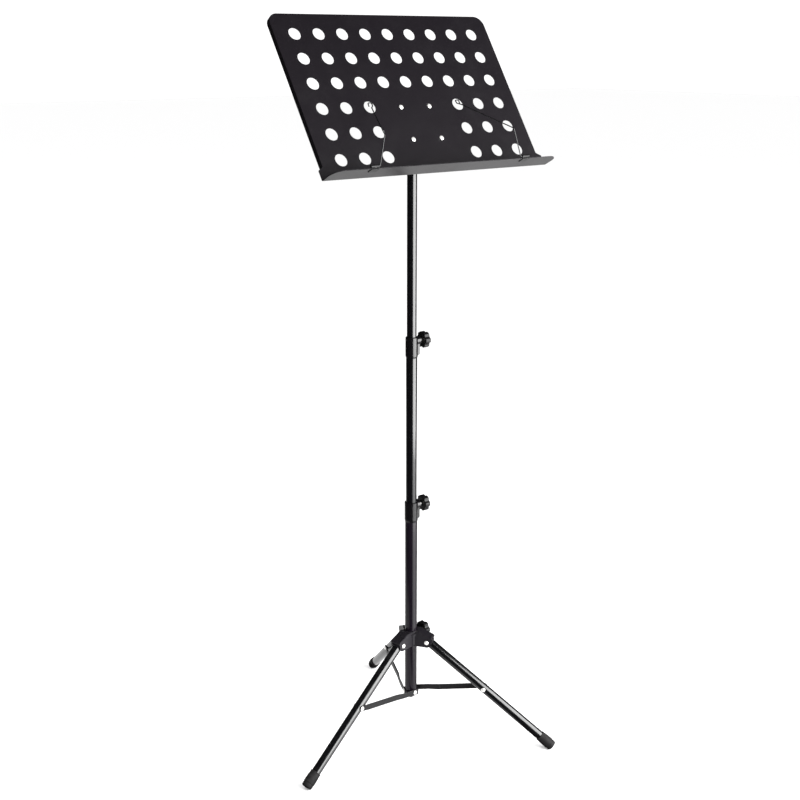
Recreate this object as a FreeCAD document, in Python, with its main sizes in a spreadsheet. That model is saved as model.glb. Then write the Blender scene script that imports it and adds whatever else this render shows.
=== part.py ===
import FreeCAD, Part
import math
import os
import sys
from types import SimpleNamespace

import Sketcher
from FreeCAD import Placement, Rotation, Vector

# A folding orchestra music stand: a perforated sheet desk with a ledge, on a mast of three
# telescoping tubes, on a tripod whose legs fold up with a hub that slides on the lowest tube.
# Millimetres, +Z up, the desk faces -Y. The frame's origin is on the floor, under the middle of
# the whole stand's box; the mast stands at (mast_x, mast_y).

DOC = FreeCAD.newDocument("music_stand")
SHEET = DOC.addObject("Spreadsheet::Sheet", "Sizes")

SIZES = (
    ("mast_x", 22.293, "mast axis from the origin"),
    ("mast_y", -25.065, "mast axis from the origin"),
    ("slip", 0.05, "radial clearance of a running or seated fit"),
    ("gap", 0.3, "clearance between pieces that pass each other"),
    # mast
    ("lower_d", 24.5, "lower tube, outside"),
    ("middle_d", 21.5, "middle tube, outside"),
    ("upper_d", 18.5, "upper tube, outside"),
    ("tube_wall", 1.2, "wall of the mast and leg tubes"),
    ("lower_bottom", 99.0, "height of the lower tube's foot"),
    ("lower_top", 497.5, "height of the lower tube's mouth"),
    ("middle_bottom", 350.0, "height of the middle tube's foot"),
    ("middle_top", 831.5, "height of the middle tube's mouth"),
    ("upper_bottom", 690.0, "height of the upper tube's foot"),
    ("guide_length", 14.0, "guide plug in a tube's foot"),
    ("guide_flange", 2.0, "flange of a guide plug"),
    # clamp collars
    ("collar_height", 41.0, "whole collar"),
    ("collar_wall", 1.2, "collar over its tube"),
    ("collar_over_mouth", 13.5, "collar above its tube's mouth"),
    ("screw_below_top", 9.0, "clamp screw below the collar's top"),
    ("collar_taper", 4.0, "height of the taper at the collar's foot"),
    ("lug_reach", 4.4, "lug beyond the collar's side"),
    ("lug_width", 9.0, "width of the lug"),
    ("boss_radius", 8.0, "round boss about the clamp screw"),
    # thumb knobs and their screws
    ("knob_radius", 16.0, "tips of the knob's lobes"),
    ("knob_thick", 12.5, "thickness of a knob"),
    ("scallop_radius", 6.0, "hollow between two lobes"),
    ("scallop_centre", 19.6, "radius that the hollows are centred on"),
    ("knob_from_lug", 6.5, "knob's inner face beyond its lug"),
    ("knob_grip", 8.0, "clamp screw inside its knob"),
    ("knob_dish", 6.5, "radius of the dish in a knob's face"),
    ("knob_dish_deep", 1.0, "depth of that dish"),
    ("screw_radius", 2.95, "clamp screw"),
    ("insert_radius", 4.2, "brass threaded insert"),
    ("insert_length", 3.6, "brass threaded insert"),
    ("insert_mouth", 5.0, "clear way in front of an insert"),
    # hub and legs
    ("pivot_r", 34.8, "leg pivots, from the mast axis"),
    ("pivot_z", 212.5, "leg pivots, above the floor"),
    ("hub_bottom", 204.0, "height of the hub's foot"),
    ("hub_height", 30.0, "height of the hub's sleeve"),
    ("hub_radius", 16.0, "hub's sleeve, outside"),
    ("hub_lip", 1.4, "lip round the hub's sleeve"),
    ("cheek_inside", 9.6, "half the space between a fork's cheeks"),
    ("cheek_thick", 2.6, "thickness of a cheek"),
    ("cheek_round", 10.5, "round end of a cheek"),
    ("cheek_root", 8.0, "where a cheek starts inside the sleeve"),
    ("hood_inner", 18.0, "inner end of the hood over a leg, from the mast axis"),
    ("hood_outer", 47.0, "outer end of the hood"),
    ("hood_fall", 13.5, "drop of the hood's top from end to end"),
    ("hood_thick", 3.0, "hood, measured upright"),
    ("rib_rise", 1.2, "ribs above the hood"),
    ("rib_wide", 1.8, "thickness of a rib"),
    ("rib_pitch", 4.2, "spacing of the ribs"),
    ("hub_screw_z", 223.0, "height of the hub's clamp screw"),
    ("hub_boss_end", 23.5, "end of the hub's clamp boss from the mast axis"),
    ("first_leg", -80.0, "azimuth of the first leg, from -Y towards +X"),
    ("leg_angle", 51.7, "legs, from the vertical"),
    ("leg_length", 333.0, "pivot to the middle of the foot's end"),
    ("leg_d", 18.5, "leg tube, outside"),
    ("leg_start", 9.0, "tube's upper end, from the pivot"),
    ("leg_end_gap", 5.0, "foot's rubber below the tube's end"),
    ("knuckle_half", 9.3, "half the width of the leg's knuckle"),
    ("knuckle_plug", 30.0, "knuckle's plug in the tube"),
    ("pin_radius", 3.0, "leg pivot pin"),
    ("foot_length", 33.5, "rubber foot"),
    ("foot_d", 22.4, "rubber foot at its widest"),
    ("foot_end_d", 20.4, "rubber foot at its end"),
    # braces
    ("brace_on_leg", 150.0, "brace pivot down the leg from the leg pivot"),
    ("brace_r", 2.0, "brace pivot at the spider, outward from the mast axis"),
    ("brace_z", 96.0, "brace pivot at the spider, above the floor"),
    ("brace_tall", 11.0, "height of a brace"),
    ("brace_sheet", 1.6, "flattened end of a brace"),
    ("brace_thick", 3.0, "pressed middle of a brace"),
    ("brace_near", 12.6, "inner face of a brace's inner end, from the leg's plane"),
    ("brace_far", 9.6, "inner face of a brace's outer end, from the leg's plane"),
    ("crank_start", 34.0, "where a brace's crank starts, from the spider's pivot"),
    ("crank_end", 52.0, "where a brace's crank ends"),
    ("brace_flat", 11.0, "flattened outer end beyond its pivot's centre"),
    ("brace_press", 6.0, "length of the step up to the pressed middle"),
    ("brace_pin", 2.5, "brace pivot pins"),
    ("stud_washer", 4.7, "washer under a brace, on the leg's rivet"),
    ("rivet_head", 4.6, "head of a brace or leg rivet"),
    ("rivet_crown", 0.6, "radius of the flat on top of a rivet head"),
    ("rivet_dome", 2.0, "height of that head"),
    ("spider_half", 12.4, "flats of the spider, from the mast axis"),
    ("spider_round", 16.0, "corners of the spider, from the mast axis"),
    ("spider_tall", 11.0, "spider's body"),
    ("spider_plug", 18.0, "spider's plug in the lower tube"),
    ("spider_pin_in", 6.0, "inner end of a spider's rivet, from the leg's plane"),
    # desk
    ("tilt", 34.0, "desk, back from the vertical"),
    ("hinge_z", 1227.2, "height of the tilt hinge"),
    ("face_from_hinge", 33.2, "desk's face in front of the tilt hinge"),
    ("sheet_wall", 1.2, "desk's sheet"),
    ("desk_half", 242.5, "half the desk's width"),
    ("desk_top", 226.5, "desk's top edge above the hinge, along the desk"),
    ("desk_corner", 20.0, "round top corners"),
    ("desk_return", 10.0, "edges folded back"),
    ("return_bend", 0.9, "outside of the returns' bend"),
    ("shoulder", 6.0, "slope where the side returns end"),
    ("return_foot", -76.0, "foot of the side returns, along the desk"),
    ("wide_half", 252.5, "half the width of the ledge and the strip above it"),
    ("fold_z", -102.5, "underside of the ledge's fold, along the desk"),
    ("fold_radius", 3.0, "outside of the fold"),
    ("ledge_depth", 42.0, "ledge in front of the desk's face"),
    ("ledge_droop", 7.0, "ledge past square to the desk"),
    ("ledge_corner", 22.0, "round corners of the ledge"),
    ("hole_pitch", 50.0, "perforation, both ways"),
    ("hole_d", 24.0, "perforation"),
    ("hole_row_one", 185.0, "top row of holes above the hinge, along the desk"),
    # tilt bracket, head and bolt
    ("rivet_x", 32.0, "desk rivets, from the middle"),
    ("rivet_z", 33.0, "desk rivets, above and below the hinge"),
    ("rivet_way", 2.5, "desk rivets' holes"),
    ("rivet_shank", 2.45, "desk rivets' shanks"),
    ("plate_half_x", 43.0, "bracket's plate"),
    ("plate_half_z", 45.0, "bracket's plate"),
    ("plate_thick", 2.0, "bracket's plate"),
    ("plate_corner", 6.0, "round corners of the plate"),
    ("ear_inside", 17.0, "half the space between the bracket's ears"),
    ("ear_thick", 2.5, "bracket's ears"),
    ("ear_round", 12.0, "round end of an ear"),
    ("ear_root", 22.0, "half an ear's width at the plate"),
    ("ear_step", 6.0, "ear's straight root above the plate"),
    ("ear_lean", 4.0, "where an ear's round end starts, in front of the hinge"),
    ("head_radius", 13.0, "tilt head's socket, outside"),
    ("head_drop", 47.0, "foot of the socket below the hinge"),
    ("head_top", 14.0, "mouth of the upper tube below the hinge"),
    ("head_shoulder", 8.0, "top of the socket's straight side below the hinge"),
    ("bolt_radius", 3.0, "tilt bolt"),
    ("tilt_knob_gap", 4.0, "tilt knob's inner face beyond its ear"),
    ("tilt_grip", 9.0, "tilt bolt inside its knob"),
    # page holders
    ("clip_x", 170.0, "page clips, from the middle"),
    ("clip_wide", 16.0, "width of a page clip"),
    ("clip_wall", 1.1, "sheet of a page clip"),
    ("clip_grip", 13.0, "page clip's reach over the ledge"),
    ("barrel_radius", 2.8, "barrel that holds the wire"),
    ("wire_radius", 1.0, "page arm's wire"),
    ("elbow_x", 145.0, "elbow of a page arm, from the middle"),
    ("elbow_front", 66.0, "elbow in front of the desk's face"),
    ("elbow_z", -57.5, "elbow, along the desk"),
    ("tip_x", 99.0, "loop of a page arm, from the middle"),
    ("tip_front", 2.2, "loop in front of the desk's face"),
    ("tip_z", 36.5, "loop, along the desk"),
    ("loop_radius", 4.0, "loop at a page arm's tip"),
    ("wire_bend", 2.2, "radius of the wire's bends"),
    ("barrel_lift", 0.4, "barrel above the clip"),
    ("sheet_gap", 0.05, "paint between two sheets"),
)


class Dim:
    """A size with the sheet expression behind it, so a feature can be bound to the sheet."""

    def __init__(self, value, text):
        self.value = float(value)
        self.text = text

    def __add__(self, other):
        return joined(self, "+", other)

    def __radd__(self, other):
        return joined(other, "+", self)

    def __sub__(self, other):
        return joined(self, "-", other)

    def __rsub__(self, other):
        return joined(other, "-", self)

    def __mul__(self, other):
        return joined(self, "*", other)

    def __rmul__(self, other):
        return joined(other, "*", self)

    def __truediv__(self, other):
        return joined(self, "/", other)

    def __neg__(self):
        return joined(0.0, "-", self)

    def __float__(self):
        return self.value


def dim(number):
    """A plain number as a Dim."""
    return number if isinstance(number, Dim) else Dim(number, "(%.6f)" % number)


def joined(first, sign, second):
    """The sum, difference, product or quotient of two sizes."""
    a, b = dim(first), dim(second)
    value = {
        "+": a.value + b.value,
        "-": a.value - b.value,
        "*": a.value * b.value,
        "/": a.value / b.value if b.value else 0.0,
    }[sign]
    return Dim(value, "(%s %s %s)" % (a.text, sign, b.text))


def fill_sheet():
    """Writes the sheet and returns its sizes by name."""
    for row, (alias, value, meaning) in enumerate(SIZES, start=1):
        SHEET.set("A%d" % row, str(value))
        SHEET.setAlias("A%d" % row, alias)
        SHEET.set("B%d" % row, meaning)
    DOC.recompute()
    return SimpleNamespace(**{alias: Dim(value, "Sizes." + alias) for alias, value, _ in SIZES})


S = fill_sheet()
OPEN_END = 600.0        # a cut that runs right through
FLOOR_HALF, FLOOR_DEEP = 30.0, 20.0
PARTS = []
CUTS = []


# ---------------------------------------------------------------- PartDesign helpers

def new_body(label):
    body = DOC.addObject("PartDesign::Body", "Body_" + label)
    body.Label = label
    return body


def keep(piece, place=None):
    """Marks a finished sub-part for export, in its place."""
    if place is not None:
        piece.Placement = place
    PARTS.append(piece)
    return piece


def sketch_on(body, role, offset=None):
    """A sketch on one of the body's own origin planes."""
    sketch = body.newObject("Sketcher::SketchObject", "Sketch")
    plane = [item for item in body.Origin.OriginFeatures if item.Role == role][0]
    sketch.AttachmentSupport = [(plane, "")]
    sketch.MapMode = "FlatFace"
    if offset is not None:
        sketch.AttachmentOffset = offset
    return sketch


def bind(sketch, constraint, size):
    index = sketch.addConstraint(constraint)
    if "Sizes." in size.text:
        sketch.setExpression("Constraints[%d]" % index, size.text)


def pin_point(sketch, geometry, end, x, y):
    """Fixes a point of a sketch at (x, y) from the sketch's origin."""
    for size, name, axis in ((x, "DistanceX", -2), (y, "DistanceY", -1)):
        if abs(size.value) < 1e-9:
            sketch.addConstraint(Sketcher.Constraint("PointOnObject", geometry, end, axis))
        else:
            bind(sketch, Sketcher.Constraint(name, -1, 1, geometry, end, size.value), size)


def circle(sketch, x, y, radius):
    x, y, radius = dim(x), dim(y), dim(radius)
    centre = Vector(x.value, y.value, 0)
    shape = sketch.addGeometry(Part.Circle(centre, Vector(0, 0, 1), radius.value), False)
    bind(sketch, Sketcher.Constraint("Radius", shape, radius.value), radius)
    pin_point(sketch, shape, 3, x, y)


def outline(sketch, points, bulges=None):
    """A closed outline through points; bulges maps an edge's index to its arc's (radius, turn)."""
    bulges = bulges or {}
    points = [(dim(x), dim(y)) for x, y in points]
    edges = []
    for index, start in enumerate(points):
        end = points[(index + 1) % len(points)]
        a = Vector(start[0].value, start[1].value, 0)
        b = Vector(end[0].value, end[1].value, 0)
        if index in bulges:
            radius, turn = bulges[index]
            edges.append(add_arc(sketch, a, b, dim(radius), turn))
        else:
            edges.append((sketch.addGeometry(Part.LineSegment(a, b), False), 1, 2))
    for index, (geometry, first, _) in enumerate(edges):
        before = edges[index - 1]
        sketch.addConstraint(Sketcher.Constraint("Coincident", before[0], before[2], geometry, first))
        pin_point(sketch, geometry, first, *points[index])


def add_arc(sketch, a, b, radius, turn):
    """The short arc from a to b; turn is +1 where it turns left, -1 where it turns right."""
    chord = b - a
    half = chord.Length / 2.0
    rise = math.sqrt(max(radius.value ** 2 - half ** 2, 0.0))
    side = Vector(-chord.y, chord.x, 0).normalize()
    centre = (a + b) * 0.5 + side * (turn * rise)
    start, stop = (a, b) if turn > 0 else (b, a)
    angles = [math.atan2(p.y - centre.y, p.x - centre.x) for p in (start, stop)]
    ring = Part.Circle(centre, Vector(0, 0, 1), radius.value)
    arc = sketch.addGeometry(Part.ArcOfCircle(ring, angles[0], angles[1]), False)
    bind(sketch, Sketcher.Constraint("Radius", arc, radius.value), radius)
    return (arc, 1, 2) if turn > 0 else (arc, 2, 1)


def box_outline(sketch, x0, x1, y0, y1):
    outline(sketch, ((x0, y0), (x1, y0), (x1, y1), (x0, y1)))


def watch_cut(feature):
    """Notes a feature that must take material away."""
    if feature.TypeId in ("PartDesign::Pocket", "PartDesign::Groove"):
        CUTS.append(feature)
    return feature


def extrude(body, kind, sketch, length, back=False, both=False):
    """A Pad or Pocket; back goes against the sketch's normal, both goes half each way."""
    feature = body.newObject("PartDesign::" + kind, kind)
    feature.Profile = sketch
    length = dim(length)
    feature.Length = length.value
    if "Sizes." in length.text:
        feature.setExpression("Length", length.text)
    feature.Reversed = back
    feature.Midplane = both
    return watch_cut(feature)


def spin(body, kind, sketch, axis="V_Axis"):
    """A Revolution or Groove right round one of the sketch's axes."""
    feature = body.newObject("PartDesign::" + kind, kind)
    feature.Profile = sketch
    feature.ReferenceAxis = (sketch, [axis])
    feature.Angle = 360.0
    return watch_cut(feature)


def repeat_round(body, features, count):
    """Repeats features about the body's Z axis."""
    axis = [item for item in body.Origin.OriginFeatures if item.Role == "Z_Axis"][0]
    pattern = body.newObject("PartDesign::PolarPattern", "PolarPattern")
    pattern.Originals = features
    pattern.Axis = (axis, [""])
    pattern.Angle = 360.0
    pattern.Occurrences = count
    body.Tip = pattern
    return pattern


def soften(body, kind, size, test):
    """Fillets or chamfers the edges of the body so far that pass the test."""
    DOC.recompute()
    base = body.Tip
    names = ["Edge%d" % n for n, edge in enumerate(base.Shape.Edges, start=1) if test(edge)]
    feature = body.newObject("PartDesign::" + kind, kind)
    feature.Base = (base, names)
    size = dim(size)
    field = "Radius" if kind == "Fillet" else "Size"
    setattr(feature, field, size.value)
    if "Sizes." in size.text:
        feature.setExpression(field, size.text)
    return feature


def runs_along(edge, axis):
    """True for a straight edge along 'x', 'y' or 'z'."""
    if not isinstance(edge.Curve, Part.Line):
        return False
    return abs(getattr(edge.Curve.Direction, axis)) > 0.999


def middle_of(edge):
    return edge.BoundBox.Center


# ---------------------------------------------------------------- places

MAST = Vector(S.mast_x.value, S.mast_y.value, 0)
LEGS = ("left", "right", "rear")


def on_mast(z, turn=0.0):
    """On the mast's axis at a height, turned about it."""
    return Placement(MAST + Vector(0, 0, float(z)), Rotation(Vector(0, 0, 1), turn))


def leg_turn(index):
    """Turn about the mast that takes +X outward along a leg."""
    return S.first_leg.value + 120.0 * index - 90.0


def on_leg(index):
    """A leg's own frame: Z up the leg from the foot to the pivot, +Y at its left side."""
    lean = Placement(Vector(float(S.pivot_r), 0, float(S.pivot_z)),
                     Rotation(Vector(0, 1, 0), -float(S.leg_angle)))
    return on_mast(0, leg_turn(index)) * lean


def brace_span():
    """Length of a brace between its pivots, and its rise above the level."""
    angle = math.radians(float(S.leg_angle))
    out = float(S.pivot_r) + float(S.brace_on_leg) * math.sin(angle) - float(S.brace_r)
    rise = float(S.pivot_z) - float(S.brace_on_leg) * math.cos(angle) - float(S.brace_z)
    return math.hypot(out, rise), math.degrees(math.atan2(rise, out))


def on_brace(index):
    """A brace's own frame: X from the spider's pivot to the leg's, +Y at the leg's left side."""
    lift = Placement(Vector(float(S.brace_r), 0, float(S.brace_z)),
                     Rotation(Vector(0, 1, 0), -brace_span()[1]))
    return on_mast(0, leg_turn(index)) * lift


def on_desk():
    """The desk's frame: origin on the tilt hinge, +Z up the desk, its face towards -Y."""
    return Placement(MAST + Vector(0, 0, float(S.hinge_z)),
                     Rotation(Vector(1, 0, 0), -float(S.tilt)))


# ---------------------------------------------------------------- shared pieces

def ring(label, outside, wall, length, place):
    """A plain tube standing on its foot."""
    body = new_body(label)
    sketch = sketch_on(body, "XY_Plane")
    circle(sketch, 0, 0, outside / 2)
    circle(sketch, 0, 0, outside / 2 - wall)
    extrude(body, "Pad", sketch, length)
    return keep(body, place)


def guide_plug(label, outside, place):
    """The plastic guide pressed into a sliding tube's foot, with a flange under the tube."""
    body = new_body(label)
    sketch = sketch_on(body, "XZ_Plane")
    bore = outside / 2 - S.tube_wall
    outline(sketch, (
        (bore - 3.0, -S.guide_flange),
        (outside / 2 - 0.6, -S.guide_flange),
        (outside / 2, -S.guide_flange + 0.6),
        (outside / 2, 0),
        (bore - S.slip, 0),
        (bore - S.slip, S.guide_length),
        (bore - 3.0, S.guide_length),
    ))
    spin(body, "Revolution", sketch)
    return keep(body, place)


def collar(label, tube_d, inner_d, place):
    """A clamp collar: a tapered sleeve on the tube's mouth with a lug for the clamp screw."""
    body = new_body(label)
    side = tube_d / 2 + S.collar_wall
    top = S.collar_height
    seat = top - S.collar_over_mouth
    sketch = sketch_on(body, "XZ_Plane")
    outline(sketch, (
        (0, 0),
        (side - 0.9, 0),
        (side, S.collar_taper),
        (side, top - 1.2),
        (side - 1.2, top),
        (0, top),
    ))
    spin(body, "Revolution", sketch)
    screw_z = top - S.screw_below_top
    lug = sketch_on(body, "XZ_Plane")
    outline(lug, (
        (0, S.collar_taper),
        (side + S.lug_reach - 2.0, S.collar_taper),
        (side + S.lug_reach, S.collar_taper + 2.0),
        (side + S.lug_reach, screw_z),
        (0, screw_z),
    ))
    extrude(body, "Pad", lug, S.lug_width, both=True)
    boss = sketch_on(body, "YZ_Plane")
    circle(boss, 0, screw_z, S.boss_radius)
    extrude(body, "Pad", boss, side + S.lug_reach)
    bores = sketch_on(body, "XZ_Plane")
    outline(bores, (
        (0, -1.0),
        (tube_d / 2 + S.slip, -1.0),
        (tube_d / 2 + S.slip, seat),
        (inner_d / 2 + S.slip, seat),
        (inner_d / 2 + S.slip, top + S.boss_radius),
        (0, top + S.boss_radius),
    ))
    spin(body, "Groove", bores)
    screw_way(body, screw_z, side + S.lug_reach)
    return keep(body, place)


def screw_way(body, screw_z, lug_end):
    """The clamp screw's hole along +X, widened at its mouth for the threaded insert."""
    hole = sketch_on(body, "YZ_Plane")
    circle(hole, 0, screw_z, S.screw_radius + S.slip)
    extrude(body, "Pocket", hole, OPEN_END, back=True)
    mouth = sketch_on(body, "YZ_Plane", Placement(Vector(0, 0, float(lug_end - S.insert_length)),
                                                  Rotation()))
    circle(mouth, 0, screw_z, S.insert_radius + S.slip)
    extrude(body, "Pocket", mouth, S.insert_length + S.insert_mouth, back=True)


def across(place, x, z):
    """A frame whose +Z lies along the +X of a place, at (x, 0, z) in it."""
    return place * Placement(Vector(float(x), 0, float(z)), Rotation(Vector(0, 1, 0), 90))


def insert(label, place, screw_z, lug_end):
    """A brass threaded insert, flush with its lug."""
    body = new_body(label)
    sketch = sketch_on(body, "XY_Plane")
    circle(sketch, 0, 0, S.insert_radius)
    circle(sketch, 0, 0, S.screw_radius + S.slip)
    extrude(body, "Pad", sketch, S.insert_length)
    return keep(body, across(place, lug_end - S.insert_length, screw_z))


def star_knob(label, bore, bore_depth, place):
    """A six-lobed knob, its inner face at Z = 0 and its bore open on that face."""
    body = new_body(label)
    disc = sketch_on(body, "XY_Plane")
    circle(disc, 0, 0, S.knob_radius)
    extrude(body, "Pad", disc, S.knob_thick)
    hollow = sketch_on(body, "XY_Plane")
    circle(hollow, S.scallop_centre, 0, S.scallop_radius)
    cut = extrude(body, "Pocket", hollow, S.knob_thick + 2.0, back=True)
    repeat_round(body, [cut], 6)
    soften(body, "Fillet", 1.3, lambda e: not runs_along(e, "z"))
    dish = sketch_on(body, "XY_Plane", Placement(Vector(0, 0, float(S.knob_thick)), Rotation()))
    circle(dish, 0, 0, S.knob_dish)
    extrude(body, "Pocket", dish, S.knob_dish_deep)
    hole = sketch_on(body, "XY_Plane")
    circle(hole, 0, 0, bore)
    extrude(body, "Pocket", hole, bore_depth, back=True)
    return keep(body, place)


def clamp_screw(label, length, place):
    """A threaded clamp screw with a bevelled tip at Z = 0."""
    body = new_body(label)
    sketch = sketch_on(body, "XZ_Plane")
    outline(sketch, (
        (0, 0),
        (S.screw_radius - 0.8, 0),
        (S.screw_radius, 0.8),
        (S.screw_radius, length),
        (0, length),
    ))
    spin(body, "Revolution", sketch)
    return keep(body, place)


def thumb_screw(name, place, screw_z, tip, lug_end):
    """The knob, screw and insert of one clamp, along the +X of its place."""
    knob_start = lug_end + S.knob_from_lug
    grip = S.knob_grip
    insert(name + "_insert", place, screw_z, lug_end)
    clamp_screw(name + "_screw", knob_start + grip - tip, across(place, tip, screw_z))
    star_knob(name + "_knob", S.screw_radius + S.slip, grip, across(place, knob_start, screw_z))


def dome_curve():
    """Radius of a rivet head's profile, level where it meets the flat crown."""
    reach, dome = S.rivet_head - S.rivet_crown, S.rivet_dome
    return (reach * reach + dome * dome) / (2 * dome)


def dome_rivet(label, shank, radius, place, both=False):
    """A rivet along +Z: shank from Z = 0, with a domed head past its end, or at both ends."""
    body = new_body(label)
    sketch = sketch_on(body, "XZ_Plane")
    shank, radius = dim(shank), dim(radius)
    head, dome, crown, curve = S.rivet_head, S.rivet_dome, S.rivet_crown, dome_curve()
    top = [(radius, 0), (radius, shank), (head, shank), (crown, shank + dome), (0, shank + dome)]
    if both:
        outline(sketch, [(0, -dome), (crown, -dome), (head, 0)] + top, {1: (curve, 1), 5: (curve, 1)})
    else:
        outline(sketch, [(0, 0)] + top, {3: (curve, 1)})
    spin(body, "Revolution", sketch)
    body.Placement = place
    return body


def group(label, bodies):
    """Identical fasteners as one node of separate solids."""
    compound = DOC.addObject("Part::Compound", "Group_" + label)
    compound.Label = label
    compound.Links = bodies
    return keep(compound)


# ---------------------------------------------------------------- mast

def mast():
    low, mid, top = S.lower_d, S.middle_d, S.upper_d
    ring("lower_tube", low, S.tube_wall, S.lower_top - S.lower_bottom, on_mast(S.lower_bottom))
    ring("middle_tube", mid, S.tube_wall, S.middle_top - S.middle_bottom,
         on_mast(S.middle_bottom))
    ring("upper_tube", top, S.tube_wall, S.hinge_z - S.head_top - S.upper_bottom,
         on_mast(S.upper_bottom))
    guide_plug("middle_guide", mid, on_mast(S.middle_bottom))
    guide_plug("upper_guide", top, on_mast(S.upper_bottom))
    for name, tube, inner, mouth in (("lower", low, mid, S.lower_top),
                                     ("upper", mid, top, S.middle_top)):
        foot = mouth + S.collar_over_mouth - S.collar_height
        place = on_mast(foot)
        collar(name + "_collar", tube, inner, place)
        screw_z = S.collar_height - S.screw_below_top
        lug_end = tube / 2 + S.collar_wall + S.lug_reach
        thumb_screw(name, place, screw_z, inner / 2 + S.gap, lug_end)


# ---------------------------------------------------------------- hub

def hub():
    """The sliding hub: a sleeve with three forks, and a clamp boss between two of them."""
    body = new_body("hub")
    place = on_mast(S.hub_bottom, leg_turn(0))
    tall = S.hub_height
    sleeve = sketch_on(body, "XZ_Plane")
    lip = S.hub_radius + S.hub_lip
    outline(sleeve, (
        (0, 0),
        (S.hub_radius - 1.0, 0),
        (S.hub_radius, 1.0),
        (S.hub_radius, tall - 9.0),
        (lip, tall - 8.0),
        (lip, tall - 5.0),
        (S.hub_radius - 1.0, tall - 4.0),
        (S.hub_radius - 1.0, tall - 1.0),
        (S.hub_radius - 2.0, tall),
        (0, tall),
    ))
    spin(body, "Revolution", sleeve)
    fork = [fork_cheek(body, side) for side in (1, -1)]
    fork += hood(body)
    repeat_round(body, fork, 3)
    screw_z = S.hub_screw_z - S.hub_bottom
    boss = sketch_on(body, "YZ_Plane")
    circle(boss, 0, screw_z, S.boss_radius)
    extrude(body, "Pad", boss, S.hub_boss_end, back=True)
    bore = sketch_on(body, "XY_Plane")
    circle(bore, 0, 0, S.lower_d / 2 + S.gap)
    extrude(body, "Pocket", bore, OPEN_END, back=True)
    hole = sketch_on(body, "YZ_Plane")
    circle(hole, 0, screw_z, S.screw_radius + S.slip)
    extrude(body, "Pocket", hole, OPEN_END)
    mouth = sketch_on(body, "YZ_Plane",
                      Placement(Vector(0, 0, float(S.insert_length - S.hub_boss_end)), Rotation()))
    circle(mouth, 0, screw_z, S.insert_radius + S.slip)
    extrude(body, "Pocket", mouth, S.insert_length + S.insert_mouth)
    keep(body, place)
    pins = [hub_pin(index) for index in range(3)]
    group("leg_pivot_rivets", pins)
    back = on_mast(S.hub_bottom, leg_turn(0) + 180.0)
    thumb_screw("hub", back, screw_z, S.lower_d / 2 + S.gap, S.hub_boss_end)


def leg_plate(body, points, start, thickness):
    """A plate parallel to a leg's plane: points are (outward, up), start is its lower Y."""
    sketch = sketch_on(body, "XZ_Plane", Placement(Vector(0, 0, -float(start)), Rotation()))
    outline(sketch, points)
    return extrude(body, "Pad", sketch, thickness, back=True)


def hood_line(out):
    """Height of the hood's top above the hub's foot, at a distance from the mast axis."""
    slope = S.hood_fall / (S.hood_outer - S.hood_inner)
    return S.hub_height - slope * (out - S.hood_inner)


def hood(body):
    """The ribbed hood that closes the top of the fork along +X."""
    half = S.cheek_inside + S.cheek_thick
    first, last, thick = S.hub_radius - 2.0, S.hood_outer, S.hood_thick
    roof = leg_plate(body, (
        (first, hood_line(first) - thick),
        (last - 1.5, hood_line(last - 1.5) - thick),
        (last, hood_line(last) - thick + 0.8),
        (last, hood_line(last) - 0.8),
        (last - 0.8, hood_line(last - 0.8)),
        (S.hood_inner, S.hub_height),
        (first, S.hub_height),
    ), -half, half * 2)
    ribs = []
    for row in (-2.5, -1.5, -0.5, 0.5, 1.5, 2.5):
        rib = leg_plate(body, (
            (S.hood_inner, S.hub_height - 1.0),
            (last - 1.0, hood_line(last) - 0.5),
            (last - 2.0, hood_line(last - 2.0) + S.rib_rise),
            (S.hood_inner + 1.5, hood_line(S.hood_inner + 1.5) + S.rib_rise),
            (S.hood_inner, S.hub_height),
        ), S.rib_pitch * row - S.rib_wide / 2, S.rib_wide)
        ribs.append(rib)
    return [roof] + ribs


def fork_cheek(body, side):
    """One cheek of the fork along +X, with the pivot pin's hole."""
    inside = S.cheek_inside if side > 0 else -S.cheek_inside - S.cheek_thick
    pivot_z = S.pivot_z - S.hub_bottom
    low = pivot_z - S.cheek_round
    out = S.pivot_r + S.cheek_round
    under = S.hood_thick / 2
    sketch = sketch_on(body, "XZ_Plane", Placement(Vector(0, 0, -float(inside)), Rotation()))
    outline(sketch, (
        (S.cheek_root, low + 1.0),
        (S.pivot_r, low),
        (out, pivot_z),
        (out, hood_line(out) - under),
        (S.hood_inner, S.hub_height - under),
        (S.cheek_root, S.hub_height - under),
    ), {1: (S.cheek_round, 1)})
    circle(sketch, S.pivot_r, pivot_z, S.pin_radius + S.slip)
    return extrude(body, "Pad", sketch, S.cheek_thick, back=True)


def hub_pin(index):
    """A leg's pivot rivet, right through its fork."""
    reach = S.cheek_inside + S.cheek_thick
    place = on_leg(index) * Placement(Vector(0, -float(reach), 0), Rotation(Vector(1, 0, 0), -90))
    return dome_rivet("pivot_rivet_%d" % index, reach * 2, S.pin_radius, place, both=True)


# ---------------------------------------------------------------- legs

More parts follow.
